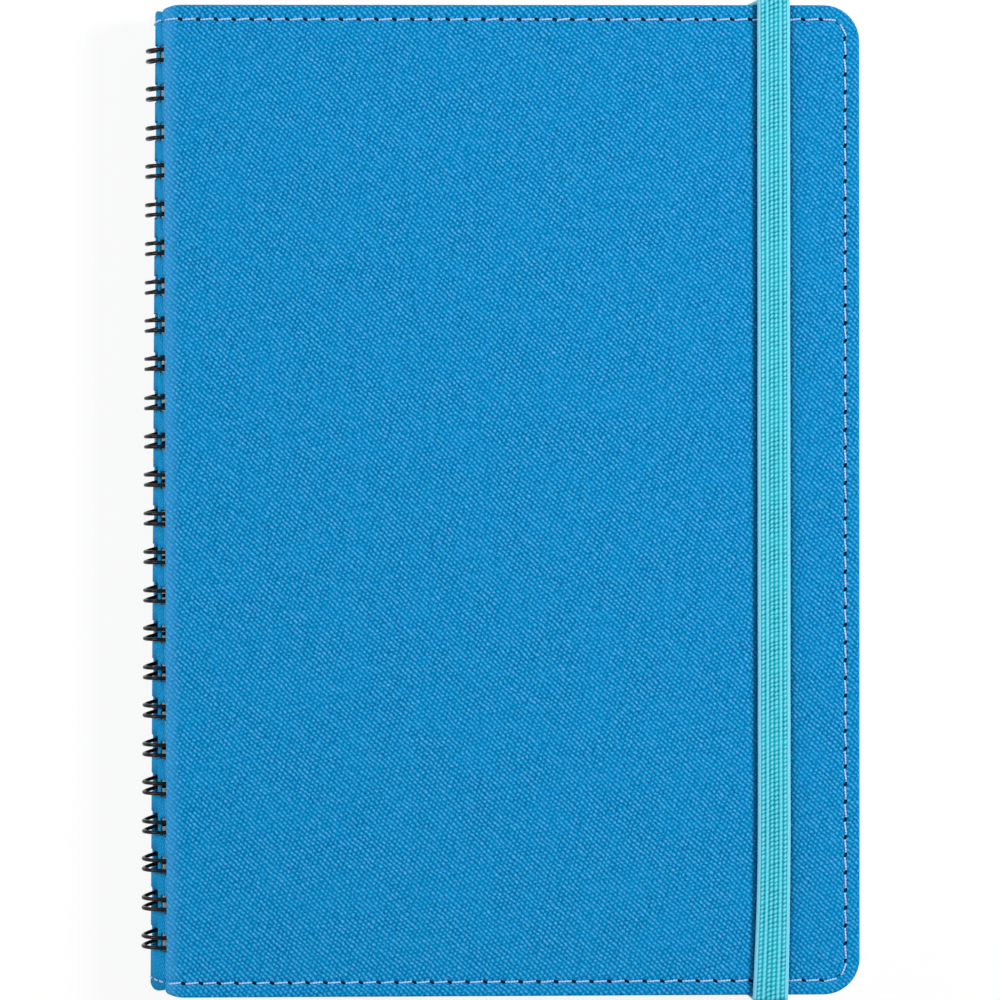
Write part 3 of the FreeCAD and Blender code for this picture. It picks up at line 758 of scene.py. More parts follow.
@dataclass
class Cover:
    """One cover: cloth turned round a board, a sewn seam and a rolled fold."""

    fold: Fold
    spine: Spine
    cloth: bpy.types.Material
    thread: bpy.types.Material
    hole: bpy.types.Material
    board: bpy.types.Material
    lining: bpy.types.Material
    corner: float = 8.0 * MM
    corner_ease: float = 1.25
    corner_steps: int = 9
    hem: float = 0.9 * MM
    cloth_gauge: float = 0.42 * MM
    seam_inset: float = 3.2 * MM
    seam_level: float = 1.5 * MM
    stitch_pitch: float = 3.9 * MM
    stitch_length: float = 2.9 * MM
    thread_radius: float = 0.21 * MM
    stitch_lift: float = 0.24 * MM
    stitch_tilt: float = 0.09
    hole_length: float = 0.6 * MM
    hole_width: float = 0.33 * MM
    hole_slant: float = math.radians(36)
    hole_level: float = 0.17 * MM
    roll_steps: int = 12
    slot_height: float = 3.9 * MM
    slot_start: float = math.radians(20)
    roll_start: float = 0.45 * MM
    roll_reach: float = 0.55 * MM
    corner_cut: float = 0.9 * MM
    corner_run: float = 3.6 * MM
    corner_reach: float = 6.0 * MM
    twist_fade: float = 20.0 * MM
    profile: tuple[tuple[float, float], ...] = (
        (0.9, 0.0), (0.5, 0.01), (0.22, 0.08), (0.06, 0.25), (0.0, 0.5), (0.0, 0.9), (0.0, 1.3),
        (0.06, 1.55), (0.22, 1.72), (0.5, 1.79), (0.9, 1.8), (1.6, 1.8), (2.3, 1.78), (2.75, 1.69),
        (3.0, 1.56), (3.2, 1.52), (3.4, 1.56), (3.65, 1.69), (4.1, 1.78), (4.9, 1.8),
    )
    width: float = field(init=False)
    half_height: float = field(init=False)
    gauge: float = field(init=False)
    origin: Vector = field(init=False)

    def __post_init__(self) -> None:
        """Takes the cover's place and sizes from its packed cloth."""
        low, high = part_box(self.fold.value + "_cloth")
        self.width = high.x - low.x
        self.half_height = (high.y - low.y) / 2
        self.gauge = high.z - low.z
        lift = high.z if self.fold is Fold.FACE_DOWN else low.z
        self.origin = Vector((low.x, 0, lift))

    @property
    def body(self) -> str:
        """The body that the cover's pieces ride on."""
        return self.fold.value + "_cover"

    def placing(self) -> Matrix:
        """Gives the move from the cover's own face-up frame to its place."""
        turn = math.pi if self.fold is Fold.FACE_DOWN else 0.0
        return Matrix.Translation(self.origin) @ Matrix.Rotation(turn, 4, "X")

    def ring(self, inset: float, level: float) -> list[Vector]:
        """Draws an open line along head, fore edge and tail.

        Args:
            inset: Its distance from the cover's edge.
            level: Its height.

        Returns:
            The line's points, from the fold at the head to the fold at the tail.
        """
        radius = self.corner - inset * self.corner_ease
        turn_x = self.width - inset - radius
        turn_y = self.half_height - inset - radius
        points = [Vector((self.roll_start, turn_y + radius, level))]
        for step in range(self.corner_steps + 1):
            swing = math.pi / 2 * step / self.corner_steps
            points.append(
                Vector((turn_x + radius * math.sin(swing), turn_y + radius * math.cos(swing), level))
            )
        return points + [Vector((p.x, -p.y, p.z)) for p in reversed(points)]

    def cloth_place(self, point: Vector) -> Vector:
        """Gives where a point lies on the flat cloth, in millimetres.

        Args:
            point: A point of the cloth, in the cover's own frame.

        Returns:
            Distance from the fold, distance along it, and how far the cloth has turned down.
        """
        middle = self.gauge / 2
        past = self.roll_start - point.x
        if past > 0:
            around = middle * math.atan2(past, point.z - middle)
            return Vector((self.roll_start - around, point.y, 0)) / MM
        drop = self.gauge - point.z
        return Vector((point.x + drop, point.y + drop, drop)) / MM

    def build_cloth(self) -> bpy.types.Object:
        """Makes the cloth: turned edge, sunk seam, flat face and a fold rolled about its hinge."""
        mesh = bmesh.new()
        rows = skin(mesh, [self.ring(inset * MM, level * MM) for inset, level in self.profile])
        inner = rows[-1]
        edges = [mesh.edges.get(pair) for pair in zip(inner, inner[1:])]
        edges.append(mesh.edges.new((inner[-1], inner[0])))
        bmesh.ops.contextual_create(mesh, geom=edges)
        steps = [0.8, 1.3, 2.0, 2.8, 3.8, 6.0, 9.0] + [15.0 + 12.0 * number for number in range(12)]
        for reach in steps:
            bmesh.ops.bisect_plane(
                mesh,
                geom=mesh.verts[:] + mesh.edges[:] + mesh.faces[:],
                dist=0.001 * MM,
                plane_co=(reach * MM, 0, 0),
                plane_no=(1, 0, 0),
            )
        if self.fold is Fold.FACE_UP:
            self.spine.cut_rows(mesh, self.slot_height, 1.0 * MM)
        self.roll_fold(mesh)
        layer = mesh.verts.layers.float_vector.new("cloth")
        for vert in mesh.verts:
            vert[layer] = self.cloth_place(vert.co)
            past = max(self.roll_start - vert.co.x, 0.0)
            vert.co.y -= self.corner_pull(vert.co)
            vert.co.x += past * (1 - self.roll_reach / (self.gauge / 2))
        bmesh.ops.recalc_face_normals(mesh, faces=mesh.faces)
        if max(mesh.faces, key=lambda face: face.calc_area()).normal.z < 0:
            bmesh.ops.reverse_faces(mesh, faces=mesh.faces)
        bmesh.ops.transform(mesh, matrix=self.placing(), verts=mesh.verts)
        if self.fold is Fold.FACE_DOWN:
            for vert in mesh.verts:
                near = max(0.0, 1 - (vert.co.x - self.origin.x) / self.twist_fade)
                vert.co.x += self.spine.foot(vert.co.y) * min(near, 1.0)
        node = self.fold.value + "_cloth"
        piece = finish_piece(mesh, self.fold.value + "_denim", self.body, self.cloth)
        wall = piece.modifiers.new("cloth_gauge", "SOLIDIFY")
        wall.thickness = self.cloth_gauge
        wall.offset = -1.0
        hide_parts(node)
        return piece

    def corner_pull(self, point: Vector) -> float:
        """Gives how far a point near the end of the fold is drawn in, to round that corner.

        Args:
            point: A point of the cloth, in the cover's own frame.

        Returns:
            The shift along the fold, towards the middle.
        """
        near_fold = max(0.0, 1 - max(point.x - self.roll_start, 0.0) / self.corner_run) ** 2
        past_fold = max(self.roll_start - point.x, 0.0)
        near_end = max(0.0, 1 - (self.half_height - abs(point.y)) / self.corner_reach)
        return math.copysign((self.corner_cut * near_fold + past_fold * 0.6) * near_end, point.y)

    def roll_fold(self, mesh: bmesh.types.BMesh) -> None:
        """Rolls the cloth round the fold, about the line that the cover turns on.

        Args:
            mesh: The cloth, still open along the fold.
        """
        middle = self.gauge / 2
        tiny = 0.001 * MM

        def upper(edge: bmesh.types.BMEdge) -> bool:
            """Says whether an edge lies on the open side, above its middle."""
            start = self.roll_start
            return all(abs(v.co.x - start) < tiny and v.co.z > middle - tiny for v in edge.verts)

        chain = [edge for edge in mesh.edges if upper(edge)]
        verts = list({v for edge in chain for v in edge.verts})
        spun = bmesh.ops.spin(
            mesh,
            geom=verts + chain,
            cent=(self.roll_start, 0, middle),
            axis=(0, -1, 0),
            angle=math.pi,
            steps=self.roll_steps,
        )["geom_last"]
        last = [
            part
            for part in spun
            if isinstance(part, bmesh.types.BMEdge) and all(v.co.z < 2 * tiny for v in part.verts)
        ]
        hem = bmesh.ops.extrude_edge_only(mesh, edges=last)["geom"]
        fresh = [part for part in hem if isinstance(part, bmesh.types.BMVert)]
        bmesh.ops.translate(mesh, vec=(self.hem, 0, 0), verts=fresh)
        if self.fold is Fold.FACE_UP:
            bmesh.ops.delete(mesh, geom=[f for f in mesh.faces if self.in_slot(f)], context="FACES")
        bmesh.ops.remove_doubles(mesh, verts=mesh.verts, dist=0.004 * MM)

    def in_slot(self, face: bmesh.types.BMFace) -> bool:
        """Says whether a face of the rolled fold lies where a loop passes.

        Args:
            face: The face.

        Returns:
            True where the cloth is cut away.
        """
        centre = face.calc_center_median()
        past = self.roll_start - centre.x
        if past < 0.01 * MM:
            return False
        angle = math.atan2(past, centre.z - self.gauge / 2)
        return angle > self.slot_start and self.spine.at_loop(centre.y, self.slot_height)

    def seam(self) -> Iterator[tuple[Vector, float]]:
        """Walks the seam.

        Yields:
            Each stitch's middle and its heading, from the fold at the head to the tail.
        """
        radius = self.corner - self.seam_inset * self.corner_ease
        turn_x = self.width - self.seam_inset - radius
        turn_y = self.half_height - self.seam_inset - radius
        quarter = math.pi * radius / 2
        total = 2 * (turn_x + quarter + turn_y)
        count = round(total / self.stitch_pitch)
        for number in range(count):
            distance = (number + 0.5) * total / count
            from_end = min(distance, total - distance)
            side = 1 if distance <= total / 2 else -1
            swing = min(max((from_end - turn_x) / radius, 0.0), math.pi / 2)
            run_x = min(from_end, turn_x)
            run_y = max(from_end - turn_x - quarter, 0.0)
            place = Vector(
                (run_x + radius * math.sin(swing), side * (turn_y + radius * math.cos(swing) - run_y), 0)
            )
            yield place, -side * swing

    def build_stitches(self) -> None:
        """Makes the seam's stitches and the needle holes between them."""
        rng = random.Random(SEED + len(self.fold.value))
        thread, holes = bmesh.new(), bmesh.new()
        layer = thread.verts.layers.float_vector.new("thread")
        stations = list(self.seam())
        for number, (place, heading) in enumerate(stations):
            tilt = self.stitch_tilt + rng.uniform(-0.04, 0.04)
            turn = Matrix.Rotation(heading + tilt, 4, "Z")
            length = self.stitch_length * rng.uniform(0.95, 1.04)
            seat = Matrix.Translation(place + Vector((0, 0, self.seam_level))) @ turn
            add_stitch(thread, layer, self.placing() @ seat, length, self.thread_radius, self.stitch_lift)
            if number + 1 < len(stations):
                following = stations[number + 1]
                middle = (place + following[0]) / 2
                slant = (heading + following[1]) / 2 - self.hole_slant + rng.uniform(-0.12, 0.12)
                spot = Matrix.Translation(middle + Vector((0, 0, self.seam_level + self.hole_level)))
                spot = spot @ Matrix.Rotation(slant, 4, "Z")
                add_hole(holes, self.placing() @ spot, self.hole_length, self.hole_width)
        name = self.fold.value
        stitches = finish_piece(thread, name + "_thread", self.body, self.thread)
        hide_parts(name + "_stitching")
        finish_piece(holes, name + "_needle_holes", self.body, self.hole)

    def build(self) -> None:
        """Makes and dresses every piece of the cover."""
        self.build_cloth()
        self.build_stitches()
        dress_node(self.fold.value + "_board", self.board)
        dress_node(self.fold.value + "_lining", self.lining)


def add_stitch(
    mesh: bmesh.types.BMesh,
    layer: bmesh.types.BMLayerItem,
    seat: Matrix,
    length: float,
    radius: float,
    lift: float,
) -> None:
    """Adds one stitch: a short plump run of thread whose ends dive into the cloth.

    Args:
        mesh: The mesh of all the stitches.
        layer: The vertex layer that holds each point's place on the thread.
        seat: Where the stitch's middle lies, with X along it.
        length: Its length.
        radius: The thread's radius.
        lift: How far its middle stands above its seat.
    """
    sides = 6
    shape = ((-0.56, -0.5, 0.5), (-0.46, 0.15, 0.9), (-0.26, 0.72, 1.0), (0.0, 0.86, 1.04),
             (0.26, 0.72, 1.0), (0.46, 0.15, 0.9), (0.56, -0.5, 0.5))
    rings = []
    for along, height, girth in shape:
        middle = Vector((along * length, 0, height * lift))
        ring = []
        for side in range(sides):
            angle = math.tau * side / sides - math.pi / 2
            around = Vector((0, math.cos(angle) * radius, math.sin(angle) * radius * 0.8)) * girth
            ring.append(seat @ (middle + around))
        rings.append(ring)
    rows = skin(mesh, rings, closed=True)
    for (along, _, _), row in zip(shape, rows):
        for side, vert in enumerate(row):
            vert[layer] = Vector((side / sides, along * length / MM, 0))
    for row in (rows[0], rows[-1]):
        mesh.faces.new(row if row is rows[-1] else row[::-1])


def add_hole(mesh: bmesh.types.BMesh, seat: Matrix, length: float, width: float) -> None:
    """Adds one needle hole: a small dished oval of shaded cloth.

    Args:
        mesh: The mesh of all the holes.
        seat: Where the hole's middle lies, with X along it.
        length: Half its length.
        width: Half its width.
    """
    rim = bmesh.ops.create_circle(mesh, cap_ends=True, segments=10, radius=1.0)["verts"]
    face = rim[0].link_faces[0]
    bmesh.ops.inset_individual(mesh, faces=[face], thickness=0.45, depth=-0.12)
    verts = {vert for corner in rim for side in corner.link_faces for vert in side.verts}
    scale = Matrix.Diagonal((length, width, min(length, width), 1))
    bmesh.ops.transform(mesh, matrix=seat @ scale, verts=list(verts))


@dataclass
class SpineCloth:
    """The strip of cloth between the folds, with a slot at each fold for each loop."""

    spine: Spine
    cloth: bpy.types.Material
    thread: bpy.types.Material
    gauge: float = 0.5 * MM
    bulge: float = 0.45 * MM
    lean: float = 2.6 * MM
    slot_height: float = 3.9 * MM
    upper_slot: float = 2.2 * MM
    lower_slot: float = 7.2 * MM
    lower_slot_height: float = 4.2 * MM
    lower_slot_shift: float = 0.7 * MM
    end_reach: float = 1.1 * MM
    end_cut: float = 0.9 * MM
    steps: int = 18
    stitch_length: float = 2.8 * MM
    stitch_pitch: float = 3.9 * MM
    stitch_lift: float = 0.24 * MM
    thread_radius: float = 0.21 * MM
    seam_inset: float = 3.2 * MM
    end_inset: float = 1.5 * MM

    def arc(self) -> list[tuple[Vector, Vector]]:
        """Draws the strip's outer face from the back fold up to the front one.

        Returns:
            Points of the arc, each with its outward direction, at Y = 0.
        """
        low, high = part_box("spine_strip")
        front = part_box("front_cloth")[0].x - self.gauge / 2
        foot = Vector((front - self.lean, 0, low.z))
        top = Vector((front, 0, high.z))
        chord = top - foot
        middle = (top + foot) / 2
        outward = Vector((-chord.z, 0, chord.x)).normalized()
        radius = (chord.length_squared / 4 + self.bulge**2) / (2 * self.bulge)
        centre = middle + outward * (self.bulge - radius)
        half_swing = math.asin(chord.length / 2 / radius)
        upward = chord.normalized()
        marks = [self.lower_slot / chord.length, 1 - self.upper_slot / chord.length]
        shares = sorted([step / self.steps for step in range(self.steps + 1)] + marks)
        points = []
        for share in shares:
            swing = half_swing * (2 * share - 1)
            normal = outward * math.cos(swing) + upward * math.sin(swing)
            points.append((centre + normal * radius, normal))
        return points

    def build(self) -> None:
        """Makes the strip, cuts its slots and sews its ends."""
        low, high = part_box("spine_strip")
        points = self.arc()
        mesh = bmesh.new()
        middle_z = (low.z + high.z) / 2
        rings = []
        for side in (-1, 1):
            ring = []
            for place, _ in points:
                rounding = ((place.z - middle_z) / (high.z - middle_z)) ** 2
                y = side * (high.y + self.end_reach - self.end_cut * (0.4 + rounding))
                ring.append(Vector((place.x, y, place.z)))
            rings.append(ring)
        skin(mesh, rings)
        self.spine.cut_rows(mesh, self.slot_height, 1.0)
        self.spine.cut_rows(mesh, self.lower_slot_height, 1.0, self.lower_slot_shift)
        cut = []
        for face in mesh.faces:
            place = face.calc_center_median()
            upper = place.z > high.z - self.upper_slot and self.spine.at_loop(place.y, self.slot_height)
            lower = place.z < low.z + self.lower_slot and self.spine.at_loop(
                place.y, self.lower_slot_height, self.lower_slot_shift
            )
            if upper or lower:
                cut.append(face)
        bmesh.ops.delete(mesh, geom=cut, context="FACES")
        layer = mesh.verts.layers.float_vector.new("cloth")
        for vert in mesh.verts:
            vert[layer] = Vector(((vert.co.z + high.z * 3) / MM, vert.co.y / MM, 0))
            vert.co.x += self.spine.foot(vert.co.y) * (high.z - vert.co.z) / (high.z - low.z)
        bmesh.ops.recalc_face_normals(mesh, faces=mesh.faces)
        if sum(f.normal.x * f.calc_area() for f in mesh.faces) > 0:
            bmesh.ops.reverse_faces(mesh, faces=mesh.faces)
        strip = finish_piece(mesh, "spine_denim", "page_block", self.cloth)
        wall = strip.modifiers.new("cloth_gauge", "SOLIDIFY")
        wall.thickness = self.gauge * 0.9
        wall.offset = -1.0
        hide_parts("spine_strip")
        self.build_stitches(points, high.y + self.end_inset)

    def build_stitches(self, points: list[tuple[Vector, Vector]], half_height: float) -> None:
        """Sews the cover's seam across both ends of the strip.

        Args:
            points: The strip's outer face, with outward directions.
            half_height: Half the cover's height.
        """
        mesh = bmesh.new()
        layer = mesh.verts.layers.float_vector.new("thread")
        length = (points[-1][0] - points[0][0]).length
        for side in (1, -1):
            for number in (-1, 0, 1):
                share = 0.5 + number * self.stitch_pitch / length
                place, normal = points[round(share * (len(points) - 1))]
                y = side * (half_height - self.seam_inset)
                tangent = Vector((-normal.z, 0, normal.x)) * -1
                across = normal.cross(tangent)
                seat = Matrix((tangent, across, normal)).transposed().to_4x4()
                seat.translation = Vector((place.x + self.spine.foot(y) * (1 - share), y, place.z))
                add_stitch(mesh, layer, seat, self.stitch_length, self.thread_radius, self.stitch_lift)
        stitches = finish_piece(mesh, "spine_thread", "page_block", self.thread)
        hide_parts("spine_stitching")


@dataclass
class BindingWire:
    """One continuous coated wire, bent into twin loops."""

    spine: Spine
    coating: bpy.types.Material
    gauge: float = 0.85 * MM
    spacing: float = 2.26 * MM
    corner: float = 3.0 * MM
    seam: float = 1.5 * MM
    tip_reach: float = 0.8 * MM
    far_lean: float = 0.9 * MM
    lean_fade: float = 2.0 * MM
    round_steps: int = 16
    corner_steps: int = 6

    def arm(self) -> list[tuple[float, float]]:
        """Draws one arm of a loop.

        Returns:
            Its centre line as X and Z from the loop's middle, from the link to the tip.
        """
        low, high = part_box("binding_wire")
        half_width = (high.x - low.x - self.gauge) / 2
        half_rise = (high.z - low.z - self.gauge) / 2
        round_x = half_rise - half_width
        points = [(round_x + self.seam + 0.45 * MM, -half_rise)]
        for centre_z, first in ((-half_rise + self.corner, -90), (half_rise - self.corner, 0)):
            for step in range(self.corner_steps + 1):
                angle = math.radians(first + 90 * step / self.corner_steps)
                x = half_width - self.corner + self.corner * math.cos(angle)
                points.append((x, centre_z + self.corner * math.sin(angle)))
        for step in range(self.round_steps + 1):
            angle = math.radians(90 + 180 * step / self.round_steps)
            points.append((round_x + half_rise * math.cos(angle), half_rise * math.sin(angle)))
        return points

    def route(self) -> list[Vector]:
        """Gives the whole wire's centre line, arm after arm along the spine."""
        low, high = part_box("binding_wire")
        middle = (low + high) / 2
        half_rise = (high.z - low.z - self.gauge) / 2
        arm = self.arm()
        link_x = arm[0][0] - 0.45 * MM
        tip_x = arm[-1][0]
        rng = random.Random(SEED)
        half = self.spacing / 2
        flat = [(link_x + 0.12 * MM, -half - 0.12 * MM, -half_rise)]
        flat += [(x, -half, z) for x, z in arm]
        for step in range(1, 8):
            angle = math.pi * step / 8
            flat.append((tip_x + self.tip_reach * math.sin(angle), -half * math.cos(angle), -half_rise))
        flat += [(x, half, z) for x, z in reversed(arm)]
        flat.append((link_x + 0.12 * MM, half + 0.12 * MM, -half_rise))
        path = []
        for y in self.spine.stations():
            stray = rng.uniform(-0.017, 0.017)
            for x, side, z in flat:
                outside = min(max((tip_x + self.lean_fade - x) / self.lean_fade, 0.0), 1.0)
                lean = self.far_lean * outside * max(-z / half_rise, 0.0) ** 2
                reach = max((tip_x - x) / half_rise, 0.0) * self.spine.twist * y
                path.append(Vector((middle.x + x + reach, y + side + stray * x + lean, middle.z + z)))
        return path

    def build(self) -> None:
        """Makes the wire as one round rod along its centre line."""
        route = self.route()
        line = bpy.data.curves.new("wire_line", "CURVE")
        line.dimensions = "3D"
        line.bevel_depth = self.gauge / 2
        line.bevel_resolution = 3
        line.use_fill_caps = True
        spline = line.splines.new("POLY")
        spline.points.add(len(route) - 1)
        for point, place in zip(spline.points, route):
            point.co = (*place, 1.0)
        rod = bpy.data.objects.new("wire_line", line)
        bpy.context.scene.collection.objects.link(rod)
        shape = rod.evaluated_get(bpy.context.evaluated_depsgraph_get())
        mesh = bmesh.new()
        mesh.from_mesh(bpy.data.meshes.new_from_object(shape))
        bpy.data.objects.remove(rod)
        bmesh.ops.remove_doubles(mesh, verts=mesh.verts, dist=0.001 * MM)
        bmesh.ops.recalc_face_normals(mesh, faces=mesh.faces)
        wire = finish_piece(mesh, "twin_loop_wire", "page_block", self.coating)
        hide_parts("binding_wire")


@dataclass
class Leaves:
    """The block of leaves, in thin layers that don't line up exactly."""

    spine: Spine
    paper: bpy.types.Material
    layers: int = 30
    stray: float = 0.10 * MM
    punch_outer: float = 6.8 * MM
    punch_width: float = 4.4 * MM
    punch_height: float = 4.0 * MM

    def build(self) -> None:
        """Makes one punched layer and stacks copies of it."""
        low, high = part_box("page_block")
        rng = random.Random(SEED + 1)
        inset = self.stray
        mesh = bmesh.new()
        corners = [
            (low.x + inset, low.y + inset), (high.x - inset, low.y + inset),
            (high.x - inset, high.y - inset), (low.x + inset, high.y - inset),
        ]
        verts = [mesh.verts.new((x, y, low.z)) for x, y in corners]
        mesh.faces.new(verts)
        outer = low.x + self.punch_outer
        inner = outer - self.punch_width
        for x in (inner, outer):
            bmesh.ops.bisect_plane(
                mesh,
                geom=mesh.verts[:] + mesh.edges[:] + mesh.faces[:],
                plane_co=(x, 0, 0),
                plane_no=(1, 0, 0),
            )
        self.spine.cut_rows(mesh, self.punch_height, outer)
        holes = []
        for face in mesh.faces:
            centre = face.calc_center_median()
            if inner < centre.x < outer and self.spine.at_loop(centre.y, self.punch_height):
                holes.append(face)
        bmesh.ops.delete(mesh, geom=holes, context="FACES")
        thick = (high.z - low.z) / self.layers
        made = bmesh.ops.extrude_face_region(mesh, geom=mesh.faces[:])["geom"]
        raised = [part for part in made if isinstance(part, bmesh.types.BMVert)]
        bmesh.ops.translate(mesh, vec=(0, 0, thick * 0.94), verts=raised)
        bmesh.ops.recalc_face_normals(mesh, faces=mesh.faces)
        first = mesh.verts[:] + mesh.edges[:] + mesh.faces[:]
        for number in range(1, self.layers):
            copy = bmesh.ops.duplicate(mesh, geom=first)["geom"]
            moved = [part for part in copy if isinstance(part, bmesh.types.BMVert)]
            stray = (rng.uniform(-inset, inset), rng.uniform(-inset, inset), thick * number)
            bmesh.ops.translate(mesh, vec=stray, verts=moved)
        leaves = finish_piece(mesh, "leaves", "page_block", self.paper)
        leaves.data.shade_flat()
        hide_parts("page_block")


@dataclass
class ElasticBand:
    """The closing band: over the front, past head and tail, and sewn into the back cover."""

    braid: bpy.types.Material
    width: float = 7.2 * MM
    gauge: float = 0.9 * MM
    shift: float = 2.0 * MM
    tail_drift: float = 0.9 * MM
    tail_flare: float = 0.09
    flare_length: float = 42 * MM
    tab: float = 5.3 * MM
    run_steps: int = 44
    bend_steps: int = 5
    squash_keep: float = 0.1

    def centre_line(self) -> list[tuple[float, float]]:
        """Draws the band's middle as Y and Z, from the head tab over the front to the tail tab."""
        low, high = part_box("elastic_band")
        half = self.gauge / 2
        outer = high.y - half
        crown = high.z - half
        tab_z = low.z + half
        half_line = [(outer - half - self.tab, tab_z), (outer - half, tab_z)]
        for step in range(1, self.bend_steps + 1):
            angle = math.pi / 2 * step / self.bend_steps
            half_line.append((outer - half + half * math.sin(angle), tab_z + half - half * math.cos(angle)))
        for step in range(1, 6):
            half_line.append((outer, tab_z + half + (crown - tab_z - self.gauge) * step / 6))
        for step in range(self.bend_steps + 1):
            angle = math.pi / 2 * step / self.bend_steps
            half_line.append((outer - half + half * math.cos(angle), crown - half + half * math.sin(angle)))
        flat = outer - half
        run = [(flat * (1 - 2 * step / self.run_steps), crown) for step in range(1, self.run_steps)]
        return half_line + run + [(-y, z) for y, z in reversed(half_line)]

    def section(self) -> list[tuple[float, float]]:
        """Draws the band's section as shares of its half width and heights in its gauge."""
        top = [(-1.0, 0.12), (-0.97, 0.36)] + [(-0.9 + 0.15 * n, 0.45 + 0.05 * (n % 2)) for n in range(13)]
        top += [(0.97, 0.36), (1.0, 0.12)]
        return top + [(1.0, -0.2), (0.86, -0.5), (0.7, -0.76), (-0.7, -0.76), (-0.86, -0.5), (-1.0, -0.2)]

    def build(self) -> None:
        """Makes the band and puts it on the back cover's body."""
        low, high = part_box("elastic_band")
        middle_x = high.x - self.width / 2
        rng = random.Random(SEED + 2)
        line = self.centre_line()
        section = self.section()
        rings, lengths = [], []
        travelled = 0.0
        for number, (y, z) in enumerate(line):
            before = line[max(number - 1, 0)]
            after = line[min(number + 1, len(line) - 1)]
            travelled += math.hypot(y - before[0], z - before[1])
            heading = Vector((0, after[0] - before[0], after[1] - before[1])).normalized()
            normal = Vector((1, 0, 0)).cross(heading) * -1
            fall = min(max((high.z - self.gauge - z) / (high.z - low.z - 2 * self.gauge), 0.0), 1.0)
            near_tail = max(0.0, 1 - (y - low.y) / self.flare_length) ** 2
            centre_x = middle_x - self.shift * fall - self.tail_drift * near_tail * (1 - fall)
            half_width = self.width / 2 * (1 + self.tail_flare * near_tail * (1 - fall))
            half_width += rng.uniform(-0.02, 0.02) * MM
            rings.append(
                [
                    Vector((centre_x + share * half_width, y, z)) + normal * (level * self.gauge)
                    for share, level in section
                ]
            )
            lengths.append(travelled)
        mesh = bmesh.new()
        layer = mesh.verts.layers.float_vector.new("braid")
        rows = skin(mesh, rings, closed=True)
        for row, along in zip(rows, lengths):
            for vert, (share, _) in zip(row, section):
                vert[layer] = Vector(((share + 1) / 2 * self.width / MM, along / MM, 0))
        for row in (rows[0], rows[-1]):
            mesh.faces.new(row)
        bmesh.ops.recalc_face_normals(mesh, faces=mesh.faces)
        band = finish_piece(mesh, "braided_band", "back_cover", self.braid)
        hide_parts("elastic_band")
        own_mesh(band)


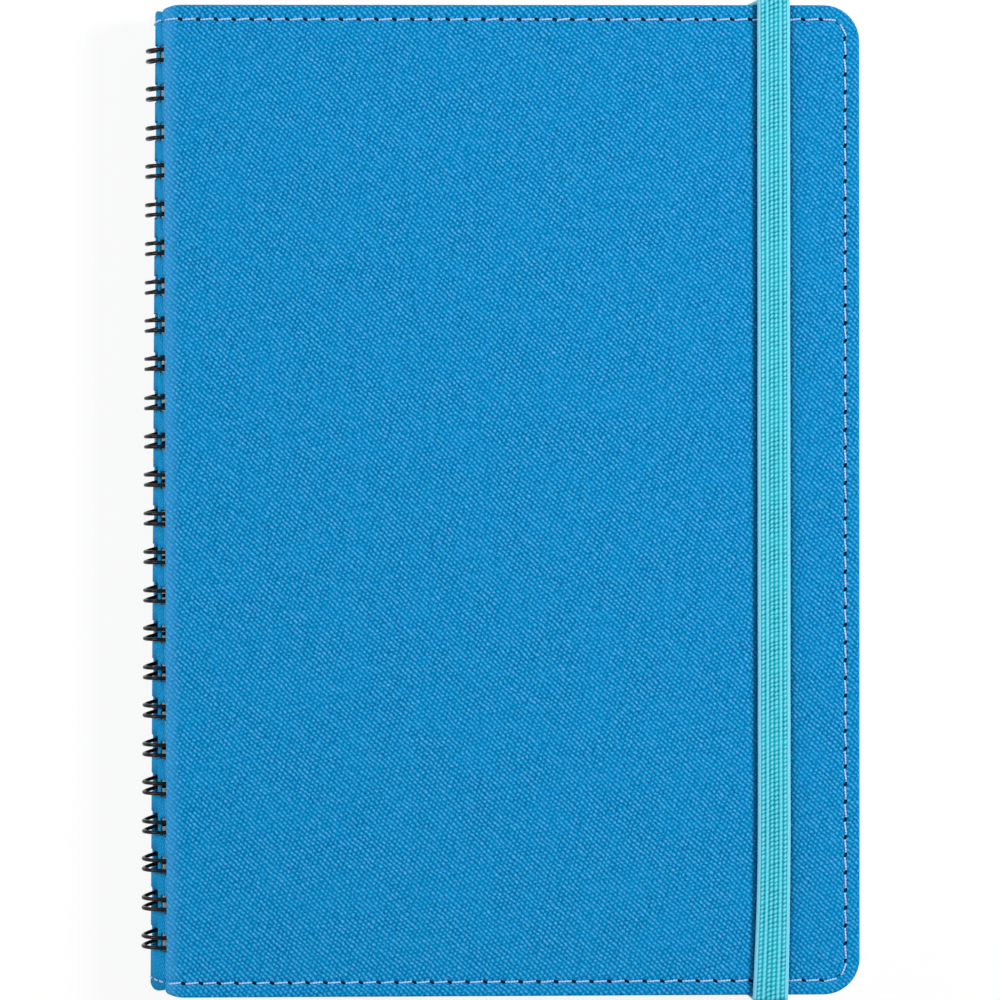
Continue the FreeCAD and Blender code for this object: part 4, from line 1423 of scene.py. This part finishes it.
@dataclass
class Studio:
    """The pale floor, soft lights and camera."""

    floor: bpy.types.Material
    floor_half: float = 6.0
    floor_drop: float = 0.2 * MM
    world_strength: float = 0.3
    camera_place: tuple[float, float, float] = (-0.01973, 0.01331, 0.86772)
    camera_turn: tuple[float, float, float] = (-0.8696, -1.3099, -0.1050)
    focal_pixels: float = 3881.0
    frame_pixels: float = 1000.0
    sensor: float = 36.0

    def lamp(self, name: str, place: Vector, side: float, power: float) -> None:
        """Hangs one square softbox that points at the notebook.

        Args:
            name: The lamp's name.
            place: Where it hangs.
            side: Its side.
            power: Its power in watts.
        """
        light = bpy.data.lights.new(name, "AREA")
        light.shape = "SQUARE"
        light.size = side
        light.energy = power
        lamp = bpy.data.objects.new(name, light)
        lamp.location = place
        lamp.rotation_euler = (-place).to_track_quat("-Z", "Y").to_euler()
        bpy.context.scene.collection.objects.link(lamp)

    def world(self) -> None:
        """Lights the scene softly from all round, and shows white behind the floor."""
        world = bpy.data.worlds.new("studio")
        bpy.context.scene.world = world
        world.use_nodes = True
        world.node_tree.nodes.clear()
        graph = Graph(world.node_tree)
        path = graph.put("ShaderNodeLightPath").outputs
        seen = graph.math("MAXIMUM", path["Is Camera Ray"], path["Is Glossy Ray"])
        seen = graph.math("MAXIMUM", seen, path["Is Transmission Ray"])
        strength = graph.ramp(seen, 0.0, 1.0, self.world_strength, 1.0)
        sky = graph.put("ShaderNodeBackground", {"Color": (1.0, 1.0, 1.0, 1.0), "Strength": strength})
        graph.put("ShaderNodeOutputWorld", {"Surface": sky.outputs[0]})

    def build(self) -> None:
        """Lays the floor, hangs the lamps and sets up the camera."""
        mesh = bmesh.new()
        bmesh.ops.create_grid(mesh, x_segments=8, y_segments=8, size=self.floor_half)
        bmesh.ops.translate(mesh, vec=(0, 0, -self.floor_drop), verts=mesh.verts)
        data = bpy.data.meshes.new("pale_floor")
        mesh.to_mesh(data)
        mesh.free()
        data.materials.append(self.floor)
        floor = bpy.data.objects.new("pale_floor", data)
        bpy.context.scene.collection.objects.link(floor)
        self.world()
        self.lamp("key_softbox", Vector((0.78, 0.25, 0.70)), 0.26, 10.7)
        self.lamp("fill_softbox", Vector((-0.80, 0.12, 0.36)), 0.34, 4.0)
        self.lamp("top_softbox", Vector((-0.12, 0.12, 1.30)), 0.45, 1.4)
        camera_data = bpy.data.cameras.new("camera")
        camera_data.sensor_width = self.sensor
        camera_data.lens = self.focal_pixels * self.sensor / self.frame_pixels
        camera = bpy.data.objects.new("camera", camera_data)
        camera.location = self.camera_place
        camera.rotation_euler = Euler([math.radians(angle) for angle in self.camera_turn], "XYZ")
        bpy.context.scene.collection.objects.link(camera)
        bpy.context.scene.camera = camera


def main() -> None:
    """Builds the studio and each sub-assembly in order."""
    logging.basicConfig(level=logging.INFO, format="%(name)s %(message)s")
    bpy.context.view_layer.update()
    bpy.context.scene.view_settings.view_transform = "Standard"
    fibre = fibre_group()
    twill = twill_group(TwillSize())
    Studio(FloorFinish(fibre).make()).build()
    spine = Spine()
    cover_cloth = {
        # 0.85: strength of the painted contact shadow along the band's edges on the front cover
        Fold.FACE_UP: DenimFinish("front_denim", twill, 1.0, 0.85).make(),
        Fold.FACE_DOWN: DenimFinish("back_denim", twill, 1.0).make(),
    }
    spine_cloth = DenimFinish("spine_denim", twill, 0.45).make()
    thread = ThreadFinish(fibre).make()
    hole = NeedleHoleFinish(fibre).make()
    board = SheetFinish("greyboard", fibre, paint(168, 160, 148), paint(130, 122, 110), 1.2).make()
    lining = SheetFinish("cover_lining", fibre, paint(221, 221, 217), paint(198, 200, 200), 1.0).make()
    paper = SheetFinish("leaf_paper", fibre, paint(224, 223, 217), paint(186, 184, 176), 0.8, 6.0).make()
    for fold in Fold:
        Cover(fold, spine, cover_cloth[fold], thread, hole, board, lining).build()
    SpineCloth(spine, spine_cloth, thread).build()
    BindingWire(spine, WireFinish(fibre).make()).build()
    Leaves(spine, paper).build()
    ElasticBand(ElasticFinish(fibre).make()).build()


if __name__ == "__main__":
    main()
